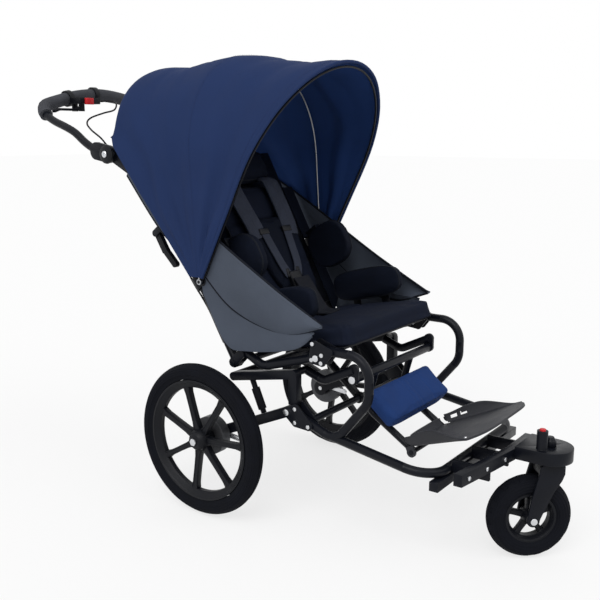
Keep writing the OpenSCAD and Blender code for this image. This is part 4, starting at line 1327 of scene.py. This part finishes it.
    def _bow(self, name: str, hoop: Hoop, inset: float, finish: Finish, body: str, node: str, slot: str) -> None:
        """Makes one bow with its eyes on the clamp pins. The middle bow's arch is a piece of its own with no body, like
        the cloth.

        Args:
            name: Name of the piece.
            hoop: Hoop that it follows.
            inset: Distance of its middle inside the cloth's side, in mm.
            finish: Its material.
            body: Body that it rides on.
            node: Solid that it replaces.
            slot: The record's material slot.
        """
        path = []
        radius = 0.002 if hoop is Hoop.MIDDLE else 0.003
        under = 12.0
        for i in range(1, 120):
            at = self.hoop(hoop, i / 120, under)
            at.y *= (self.half - inset) / (self.half - under)
            path.append(spot(*at))
        arch = rod(name + "_arch", path, radius)
        pieces = []
        if hoop is Hoop.MIDDLE:
            self.bent(arch, finish)
        else:
            pieces.append(arch)
        eye = [(4.2, -2.6), (7, -2.6), (7.6, -1.6), (7.6, 1.6), (7, 2.6), (4.2, 2.6)]
        for end in (path[0], path[-1]):
            pin = spot(self.pivot[0], 0, self.pivot[1])
            pin.y = end.y
            pieces.append(rod("bow_foot", [pin, end], radius))
            pieces.append(lathed("bow_eye", eye, 24, Matrix.Translation(pin)))
        dressed(smoothed(joined(name, pieces), 40), finish, body, slot, node)


# Side panels


@dataclass
class SidePanels:
    """Grey cloth panels at both sides, in two overlapping flaps with dark piping."""

    upper_y: float = 257.0
    lower_y: float = 254.5
    thick: float = 3.6
    belly: float = 13.0
    upper_cord: float = 0.003
    lower_cord: float = 0.0012
    upper_top: tuple[Pair, ...] = ((342, 534), (187, 616), (38, 703), (-90, 778), (-190, 830), (-284, 874))
    upper_low: tuple[Pair, ...] = ((342, 531), (228, 500), (70, 542), (-58, 652), (-160, 712), (-288, 858))
    lower_top: tuple[Pair, ...] = ((318, 514), (228, 517), (110, 545), (30, 598), (-38, 640))
    lower_low: tuple[Pair, ...] = ((312, 505), (258, 466), (120, 440), (46, 450), (-26, 568))

    def flap(
        self, name: str, top: Sequence[Pair], low: Sequence[Pair], y: float, belly: float, cord: float
    ) -> list[Piece]:
        """Makes one flap with its piping.

        Args:
            name: Name of the piece.
            top: Upper edge in mm.
            low: Lower edge in mm.
            y: Place of its inner face, signed.
            belly: How far its middle stands out, in mm.
            cord: Radius of its piping in metres.

        Returns:
            The flap, its piping and its stitches.
        """
        sign = math.copysign(1, y)
        tops = eased([Vector((x, 0, z)) for x, z in top])
        lows = eased([Vector((x, 0, z)) for x, z in low])

        def place(s: float, t: float) -> Vector:
            """Point of the flap.

            Args:
                s: Share along.
                t: Share up.

            Returns:
                The point, in metres.
            """
            at = along(lows, s).lerp(along(tops, s), t)
            full = ramp(at.x, 45, 150) * math.sin(math.pi * min(t, 0.999)) ** 0.7 * ramp(1 - s, 0, 1) ** 0.2
            ripple = 1.1 * noise.noise(at * 0.012) * ramp(at.x, 45, 120)
            return spot(at.x, y + sign * (belly * full + ripple + self.thick / 2), at.z)

        cloth = spread(name, place, 56, 22)
        wide = path_length(tops) / 1000
        thickened(cloth, self.thick / 1000)
        shares = [i / 60 for i in range(61)]
        edge, base = ([place(s, t) for s in shares] for t in (1, 0))
        seam = [place(s, 0.93) + ACROSS * sign * (self.thick / 2 + 0.3) / 1000 for s in shares]
        return [
            cloth,
            joined(name + "_piping", [rod("top", edge, cord), rod("base", base, cord)]),
            stitches(name + "_stitches", seam),
        ]

    def build(self) -> None:
        """Makes the flaps of both sides."""
        for side in Side:
            for word, top, low, y, belly, cord in (
                ("upper", self.upper_top, self.upper_low, self.upper_y, self.belly, self.upper_cord),
                ("lower", self.lower_top, self.lower_low, self.lower_y, self.belly * 0.35, self.lower_cord),
            ):
                name = f"{word}_panel_{side.word}"
                cloth, piping, sewing = self.flap(name, top, low, side.value * y, belly, cord)
                dressed(cloth, PANEL_CLOTH, "back", "panel_fabric", "side_panels")
                dressed(piping, PIPING, "back", "panel_fabric")
                dressed(sewing, GREY_THREAD, "back", "panel_fabric")


# Padding


@dataclass
class Pad:
    """A stuffed pad: blown up as cloth from a rounded block, lying flat on its base."""

    name: str
    length: float
    width: float
    deep: float
    corner: float = 3.0
    cap: float = 7.0
    voxel: float = 6.0
    crown: float = 5.0
    channels: tuple[float, ...] = ()
    quilting: tuple[float, ...] = ()
    taper: float = 0.0
    soft: int = 4
    piping: bool = True

    def build(self) -> Piece:
        """Shapes the pad at the origin, its base on z = 0 and its length along x.

        Returns:
            The pad.
        """
        shrink = self.cap * 0.6
        size = (self.length - 2 * shrink, self.width - 2 * shrink, self.deep - shrink)
        pad = cube(self.name, size)
        with editing(pad):
            bpy.ops.transform.translate(value=(0, 0, size[2] / 2000))
            bpy.ops.mesh.subdivide(number_cuts=16)
        for vertex in pad.data.vertices:
            a, b = vertex.co.x / size[0] * 2000, vertex.co.y / size[1] * 2000
            far = max(abs(a), abs(b))
            if far > 1e-6:
                pull = far / (abs(a) ** self.corner + abs(b) ** self.corner) ** (1 / self.corner)
                vertex.co.x *= 1 + (pull - 1) * far
                vertex.co.y *= 1 + (pull - 1) * far
        finished(pad, "REMESH", mode="VOXEL", voxel_size=self.voxel / 1000)
        finished(pad, "SMOOTH", factor=0.5, iterations=self.soft)
        self._blow(pad)
        self._sew(pad)
        finished(pad, "SUBSURF", levels=1, render_levels=1)
        return smoothed(pad, 75)

    def _blow(self, pad: Piece) -> None:
        """Swells the pad as cloth and holds its points within the cap.

        Args:
            pad: The pad at the origin.
        """
        before = [v.co.copy() for v in pad.data.vertices]
        held = pad.vertex_groups.new(name="base")
        held.add([i for i, co in enumerate(before) if co.z < self.voxel / 2000], 1.0, "REPLACE")
        pressure, steps = 4.0, 20
        settings = pad.modifiers.new("cloth", "CLOTH").settings
        settings.use_pressure = True
        settings.uniform_pressure_force = pressure
        settings.vertex_group_mass = "base"
        settings.effector_weights.gravity = 0
        settings.quality = 5
        scene = bpy.context.scene
        for step in range(steps):
            scene.frame_set(step + 1)
        take(pad)
        bpy.ops.object.modifier_apply(modifier="cloth")
        scene.frame_set(1)
        for vertex, was in zip(pad.data.vertices, before):
            moved = vertex.co - was
            if moved.length > self.cap / 1000:
                vertex.co = was + moved.normalized() * self.cap / 1000

    def _sew(self, pad: Piece) -> None:
        """Crowns the pad, draws in its sewn lines and narrows its lower end.

        Args:
            pad: The pad at the origin.
        """
        channel_wide, channel_deep = 7.0, 6.0
        quilt_wide, quilt_deep = 4.0, 1.6
        high = max(v.co.z for v in pad.data.vertices)
        for vertex in pad.data.vertices:
            a, b = vertex.co.x * 2000 / self.length, vertex.co.y * 2000 / self.width
            lift = ramp(vertex.co.z, 0, high)
            rise = self.crown * max(1 - a * a, 0) * max(1 - b * b, 0)
            for channel in self.channels:
                away = (vertex.co.x * 1000 - channel * self.length) / channel_wide
                rise -= channel_deep * math.exp(-away * away)
            for line in self.quilting:
                away = (vertex.co.y * 1000 - line * self.width) / quilt_wide
                rise -= quilt_deep * math.exp(-away * away)
            rise += 0.9 * noise.noise(vertex.co * 22 + Vector((self.length, self.width, 0)))
            vertex.co.y *= 1 - self.taper * (0.5 - vertex.co.x * 1000 / self.length)
            vertex.co.z = max(vertex.co.z + rise * lift / 1000, 0)
        pad.data.update()

    def edging(self, pad: Piece) -> Piece:
        """Lays piping round the pad's upper edge.

        Args:
            pad: The pad at the origin.

        Returns:
            The piping.
        """
        height = self.deep * 0.82 / 1000
        reach = 1.1 / 2000
        path = []
        for i in range(97):
            a = math.tau * i / 96
            c, s = math.cos(a), math.sin(a)
            r = (abs(c) ** self.corner + abs(s) ** self.corner) ** (-1 / self.corner)
            probe = Vector((r * c * self.length * reach, r * s * self.width * reach, height))
            path.append(pad.closest_point_on_mesh(probe)[1])
        return rod(self.name + "_piping", path, 0.0022)


@dataclass
class Padding:
    """Seat, back, head, side, thigh and calf pads, and the cloth beside the back."""

    seat_front: Vector = field(default_factory=lambda: spot(388, 0, 483))
    seat_slope: float = 10.0
    rest: Vector = field(default_factory=lambda: spot(51, 0, 481))
    rest_lean: float = 28.6
    calf: Vector = field(default_factory=lambda: spot(441.5, 0, 335))

    def rest_frame(self, up: float, across: float, front: float) -> Matrix:
        """Frame on the back cushion's rear plane, from a height, a place to the left and a distance in mm."""
        return leaning(self.rest, self.rest_lean) @ Matrix.Translation((up / 1000, -across / 1000, front / 1000))

    def lay(self, pad: Pad, where: Matrix, finish: Finish, body: str, slot: str, fill: float, *nodes: str) -> None:
        """Args:
            pad: The pad to build.
            where: Frame of the middle of its base.
            finish: Its material.
            body: Body that it rides on.
            slot: The record's material slot.
            fill: How full it is; not used.
            nodes: Solids that it replaces.
        """
        piece = pad.build()
        if pad.piping:
            dressed(placed(pad.edging(piece), where), PIPING, body, slot)
        dressed(placed(piece, where), finish, body, slot, *nodes)

    def build(self) -> None:
        """Makes every pad and the cloth beside the back."""
        seat = sloped(self.seat_front, self.seat_slope)
        flat = Matrix.Translation((-0.1445, 0, 0.0004))
        front = Pad("seat_pad", 305, 432, 46, corner=14, cap=6, crown=3, channels=(-0.18,), soft=5, piping=False)
        self.lay(front, seat @ flat, SEAT_CLOTH, "seat", "seat_fabric", 0.7, "seat_cushion")
        back = Pad("back_pad", 370, 296, 40, corner=5, cap=6, crown=4, channels=(-0.16, 0.2))
        self.lay(back, self.rest_frame(191, 0, 0.4), SEAT_CLOTH, "back", "seat_fabric", 0.7, "back_cushion")
        head = Pad("head_pad", 104, 250, 46, corner=4, voxel=5)
        self.lay(head, self.rest_frame(436, 0, 0.4), VEST_CLOTH, "back", "seat_fabric", 0.8, "headrest")
        for side in Side:
            turn = Matrix.Rotation(math.radians(90 * side.value), 4, "X")
            out = self.rest_frame(150, side.value * 180, 86) @ turn
            chest = Pad(f"chest_pad_{side.word}", 132, 140, 30, corner=2.5, cap=5, voxel=5, crown=4)
            self.lay(chest, out, VEST_CLOTH, "back", "seat_fabric", 0.8, "lateral_pads")
            thigh = Pad(f"thigh_pad_{side.word}", 224, 92, 30, corner=3.2, cap=5, voxel=5, crown=4)
            base = sloped(spot(179, side.value * 216, 551), 14) @ turn
            self.lay(thigh, base, VEST_CLOTH, "seat", "seat_fabric", 0.8, "thigh_pads")
            for word, low, high in (("low", -26, 180), ("high", 204, 372)):
                self._wing(f"back_side_{word}_{side.word}", side, low, high)
        calf = Pad(
            "calf_pad_soft", 100, 290, 36, corner=14, cap=2.4, voxel=4, crown=1.5, quilting=(-0.06, 0.02, 0.22), soft=3,
            piping=False,
        )
        under = sloped(self.calf, -40.3) @ Matrix.Translation((0, 0, -calf.deep / 1000))
        self.lay(calf, under, CALF_CLOTH, "legrest", "calf_fabric", 0.9, "calf_pad")

    def _wing(self, name: str, side: Side, low: float, high: float) -> None:
        """Stretches cloth from the back's edge to the side panel.

        Args:
            name: Name of the piece.
            side: Side of the buggy.
            low: Lower edge up the back, in mm.
            high: Upper edge up the back, in mm.
        """
        inner, outer = 204.0, 251.0
        plate_top = 8.0  # below this height the cloth narrows to clear the side plates

        def place(s: float, t: float) -> Vector:
            """Point of the cloth.

            Args:
                s: Share across.
                t: Share up.

            Returns:
                The point, in metres.
            """
            up = low + (high - low) * t
            wide = outer - inner - max(0.0, plate_top - up) * 1.2
            slack = 1.5 * math.sin(math.pi * s) + 0.8 * noise.noise(Vector((s * 2, up * 0.02, side.value)))
            return self.rest_frame(up, side.value * (inner + wide * s), 2.2 - slack).translation

        cloth = spread(name, place, 12, 40)
        thickened(cloth, 0.002)
        dressed(cloth, VEST_CLOTH, "back", "seat_fabric")


# Harness


@dataclass
class Harness:
    """Vest, padded shoulder straps, lower webbing, buckle and the strap to the seat."""

    padding: Padding = field(default_factory=Padding)
    face: float = 46.0
    strap: float = 64.0
    shoulder: tuple[Triple, ...] = (
        (206, 70, 15), (240, 74, 18), (290, 80, 15), (340, 84, 11), (372, 85, 7), (386, 85, -5),
    )
    webbing: tuple[Triple, ...] = ((222, 50, 24), (170, 42, 25), (120, 33, 26), (90, 20, 24))
    between: tuple[Triple, ...] = (
        (88, 6, 588), (112, 6, 560), (136, 6, 528), (160, 6, 504), (196, 6, 505),
    )

    def on_rest(self, up: float, across: float, front: float) -> Vector:
        """Point in front of the back, from a height, a place to the left and a distance in mm."""
        return self.padding.rest_frame(up, across, front).translation

    def build(self) -> None:
        """Makes the vest, the straps and the buckle."""
        vest = Pad("vest_pad", 220, 210, 16, corner=4, cap=4, voxel=4, crown=3, taper=0.45)
        pad = vest.build()
        where = self.padding.rest_frame(160, 0, self.face)
        dressed(placed(pad, where), VEST_CLOTH, "back", "seat_fabric", "chest_harness")
        for side in Side:
            self._shoulder(side)
            self._web(side)
        self._buckle()
        self._to_seat()

    def _shoulder(self, side: Side) -> None:
        """Makes one padded shoulder strap with its rows of stitches.

        Args:
            side: Side of the buggy.
        """
        path = eased([self.on_rest(u, side.value * y, self.face + n) for u, y, n in self.shoulder])
        strap = ribbon(f"shoulder_strap_{side.word}", path, wide=self.strap / 1000, thick=0.007, crown=0.004)
        dressed(strap, STRAP_WEBBING, "back", "strap_webbing", "shoulder_straps")
        out = self.on_rest(0, 0, 1) - self.on_rest(0, 0, 0)
        rows = []
        for share, lift in ((-0.4, 5.4), (0.0, 8.2), (0.4, 5.4)):
            line = [p + ACROSS * share * self.strap / 1000 + out * lift for p in path]
            rows.append(stitches("row", line))
        dressed(joined(f"shoulder_stitches_{side.word}", rows), GREY_THREAD, "back", "strap_webbing")

    def _web(self, side: Side) -> None:
        """Makes one piece of the lower webbing with its slider.

        Args:
            side: Side of the buggy.
        """
        path = eased([self.on_rest(u, side.value * y, self.face + n) for u, y, n in self.webbing])
        web = ribbon(f"chest_webbing_{side.word}", path, wide=0.030, thick=0.003)
        dressed(web, STRAP_WEBBING, "back", "strap_webbing")
        up, y, n = self.webbing[0]
        where = self.padding.rest_frame(up, side.value * y, self.face + n)
        slider = block(f"webbing_slider_{side.word}", (17, 38, 7), 2, where)
        dressed(slider, BLACK_PLASTIC, "back", "black_plastic")

    def _buckle(self) -> None:
        """Makes the buckle with its red button and clip ends."""
        where = self.padding.rest_frame(72, 0, self.face + 24)
        body = block("buckle_body", (54, 46, 17), 5, where)
        wings = [block("wing", (26, 16, 9), 3, where @ Matrix.Translation((0.024, y, 0))) for y in (-0.022, 0.022)]
        dressed(joined("harness_buckle", [body, *wings]), BLACK_PLASTIC, "back", "black_plastic")
        button = block("buckle_button", (11, 13, 7), 3, where @ Matrix.Translation((-0.006, 0, 0.007)))
        dressed(button, RED_PLASTIC, "back", "red_plastic")

    def _to_seat(self) -> None:
        """Makes the wide strap from the buckle to the seat, on no body of its own."""
        path = eased([spot(*p) for p in self.between])
        strap = ribbon("seat_strap", path, wide=self.strap / 1000, thick=0.005, crown=0.003)
        dressed(strap, DARK_WEBBING, None, "strap_webbing")
        tuple(path[-1])
        tuple(path[0])
        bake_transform(strap)


# Leg rest


@dataclass
class FootTray:
    """Leaf-shaped footplate with turned-up sides and heel, its slots, lugs and rivets."""

    hinge: Vector = field(default_factory=lambda: spot(496, 0, 213))
    slope: float = 23.0
    heel_x: float = -4.0
    toe_x: float = 224.0
    widening: float = 198.0
    heel: float = 102.0
    toe: float = 165.0
    base: float = 16.0
    thick: float = 5.0
    wall: float = 31.0
    leg: float = 88.0

    def half(self, x: float) -> float:
        """Half width at a distance from the hinge, in mm."""
        return self.heel + (self.toe - self.heel) * min((x - self.heel_x) / self.widening, 1)

    def rise(self, x: float) -> float:
        """Height of a side wall.

        Args:
            x: Distance from the hinge, in mm.

        Returns:
            The height, in mm.
        """
        heel_share, lip = 0.72, 1.5
        full = heel_share + (1 - heel_share) * ramp(x, 0, 70)
        return self.wall * full * (1 - ramp(x, 84, 190)) + lip

    def place(self, s: float, t: float) -> Vector:
        """Point of the tray in the hinge's frame.

        Args:
            s: Share across.
            t: Share from heel to toe.

        Returns:
            The point, in metres.
        """
        floor, heel_part = 0.86, 0.1  # shares of the flat floor and of the heel's wall
        lean, heel_lean, heel_in, swept = 6, 5, 7, 34
        across, side = abs(2 * s - 1), math.copysign(1, s - 0.5)
        inner = min(across / floor, 1)
        front = self.toe_x - swept * inner**5
        run = max(t - heel_part, 0) / (1 - heel_part)
        back = self.heel_x + heel_in
        x = back + (front - back) * run
        half = self.half(x) - lean
        up = max(across - floor, 0) / (1 - floor)
        heel_up = max(heel_part - t, 0) / heel_part
        y = half * inner + lean * math.sin(up * math.pi / 2)
        x -= heel_lean * math.sin(heel_up * math.pi / 2)
        z = self.base + max(self.rise(x) * up, self.wall * 0.75 * heel_up * (1 - 0.25 * inner**4))
        return Vector((x, side * y, z)) / 1000

    def build(self) -> None:
        """Makes the tray, cuts its slots and adds its lugs and rivets."""
        where = sloped(self.hinge, self.slope)
        tray = spread("foot_tray", self.place, 92, 72)
        self._cut(tray)
        finished(tray, "SOLIDIFY", thickness=self.thick / 1000, offset=0)
        pieces = [rounded(cleaned(tray), 0.0008)] + [self._lug(side) for side in Side]
        tray = placed(smoothed(joined("foot_tray", pieces), 40), where)
        dressed(tray, FOOT_PLASTIC, "foot", "foot_plastic", "footplate")
        dome = [(0.1, 0), (4, 0), (3.6, 1.1), (2, 1.9), (0.1, 2.1)]
        rivets = []
        for x in (58, 122, 180):
            at = Vector((x, -self.half(x) + 14, self.base + self.thick / 2 - 0.2)) / 1000
            stand = Matrix.Translation(at) @ Matrix.Rotation(math.radians(90), 4, "X")
            rivets.append(lathed("rivet", dome, 20, stand))
        dressed(smoothed(placed(joined("foot_rivets", rivets), where), 30), BRIGHT_STEEL, "foot", "bright_steel")

    def _cut(self, tray: Piece) -> None:
        """Cuts the gaps round the legs and the two slots in the left wall.

        Args:
            tray: The single sheet of the tray.
        """
        gap_long, gap_wide = 17, 25
        slots_x, slot_up, slot_high, slot_long = (22, 48), 14, 8, 16
        with editing(tray, whole=False):
            bpy.ops.mesh.select_all(action="DESELECT")
        for face in tray.data.polygons:
            x, y, z = face.center * 1000
            gap = x < gap_long and abs(abs(y) - self.leg) < gap_wide / 2
            near = min(abs(x - slot_x) for slot_x in slots_x)
            slot = y > 0 and abs(z - self.base - slot_up) < slot_high / 2 and near < slot_long / 2
            face.select = gap or slot
        with editing(tray, whole=False):
            bpy.ops.mesh.delete(type="FACE")

    def _lug(self, side: Side) -> Piece:
        """Makes the ear that turns on one leg's foot.

        Args:
            side: Side of the buggy.

        Returns:
            The ear with its stem.
        """
        low, wide = self.leg + 9.4, 5.5
        ring = [(6.1, low), (12, low), (12, low + wide), (6.1, low + wide)]
        ear = lathed("ear", [(r, y * side.value) for r, y in ring], 40, Matrix.Identity(4))
        at = Matrix.Translation(Vector((0, side.value * (low + wide / 2), 11)) / 1000)
        return joined("lug", [ear, block("stem", (22, 5.4, 9), 0.8, at)])


# Handle


@dataclass
class Handle:
    """Plastic knuckles at the handle's hinges, with their screws."""

    pivot: Pair = (-378.0, 912.0)
    out: float = 11.5
    cover: tuple[Pair, ...] = ((5, -1), (24, -1), (26, 1.5), (25, 5), (20, 7.5), (12, 8.5), (5, 8.5))
    screw: tuple[Pair, ...] = (
        (0.2, 8), (8.5, 8), (9, 9), (9, 11), (7.5, 12.4), (3.4, 12.6), (3.0, 10.6), (0.2, 10.6),
    )

    def build(self) -> None:
        """Makes the knuckle covers and their screws."""
        for side in Side:
            at = Matrix.Translation(spot(self.pivot[0], side.value * (FRAME_Y + self.out), self.pivot[1]))
            for word, profile, steps, finish in (
                ("knuckle", self.cover, 48, BLACK_PLASTIC), ("screw", self.screw, 24, BRIGHT_STEEL),
            ):
                flip = [(r, y * side.value) for r, y in profile]
                piece = smoothed(lathed(f"handle_{word}_{side.word}", flip, steps, at), 30)
                dressed(piece, finish, "handle", finish.name)


# Frame


@dataclass
class Ironwork:
    """Every hard piece that nothing else stands for: its edges eased and its finish on."""

    ease: float = 0.0007
    merge: float = 2e-6
    flat: float = 0.6
    finishes: dict[str, Finish] = field(
        default_factory=lambda: {
            finish.name: finish
            for finish in (
                BRIGHT_STEEL, FRAME_PAINT, DRUM_METAL, STRUT_RUBBER, RED_PLASTIC, GAS_PAINT, CHROME, BLACK_PLASTIC,
                GRIP_FOAM,
            )
        }
    )

    def build(self) -> None:
        """Dresses each hard node that no other class replaces."""
        taken = {n for o in bpy.data.objects for n in o.get("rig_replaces", [])}
        slots = {part["node"]: part["material_slot"] for part in frame["record"]["subparts"]}
        for name, node in sorted(frame["nodes"].items()):
            if name not in taken:
                self.dress(name, node, slots[name])

    def dress(self, name: str, node: Piece, slot: str) -> None:
        """Copies a node, rounds the copy's edges and finishes it. A strut rides on no body.

        Args:
            name: The node's name.
            node: Its object.
            slot: Its material slot.
        """
        copy = bpy.data.objects.new(f"{name}_finished", node.data.copy())
        bpy.context.scene.collection.objects.link(copy)
        with editing(copy):
            bpy.ops.mesh.remove_doubles(threshold=self.merge)
            bpy.ops.mesh.dissolve_limited(angle_limit=math.radians(self.flat))
        if slot != "grip_foam":
            rounded(copy, self.ease)
        springy = slot == "strut_rubber"
        body = None if springy else node["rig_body"]
        dressed(smoothed(copy, 34), self.finishes.get(slot, FRAME_PAINT), body, slot, name)
        if springy:
            heights = sorted(copy.data.vertices, key=lambda v: v.co.z)
            ends = tuple(heights[-1].co), tuple(heights[0].co)
            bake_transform(copy)


def main() -> None:
    """Builds the studio and every sub-assembly in order."""
    logging.basicConfig(level=logging.INFO, format="%(message)s")
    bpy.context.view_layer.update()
    for part in (
        Studio(), BrakeCable(), RearWheels(), Caster(), Hood(), SidePanels(), Padding(), Harness(), FootTray(),
        Handle(), Ironwork(),
    ):
        LOG.info("building %s", type(part).__name__)
        part.build()


if __name__ == "__main__":
    main()
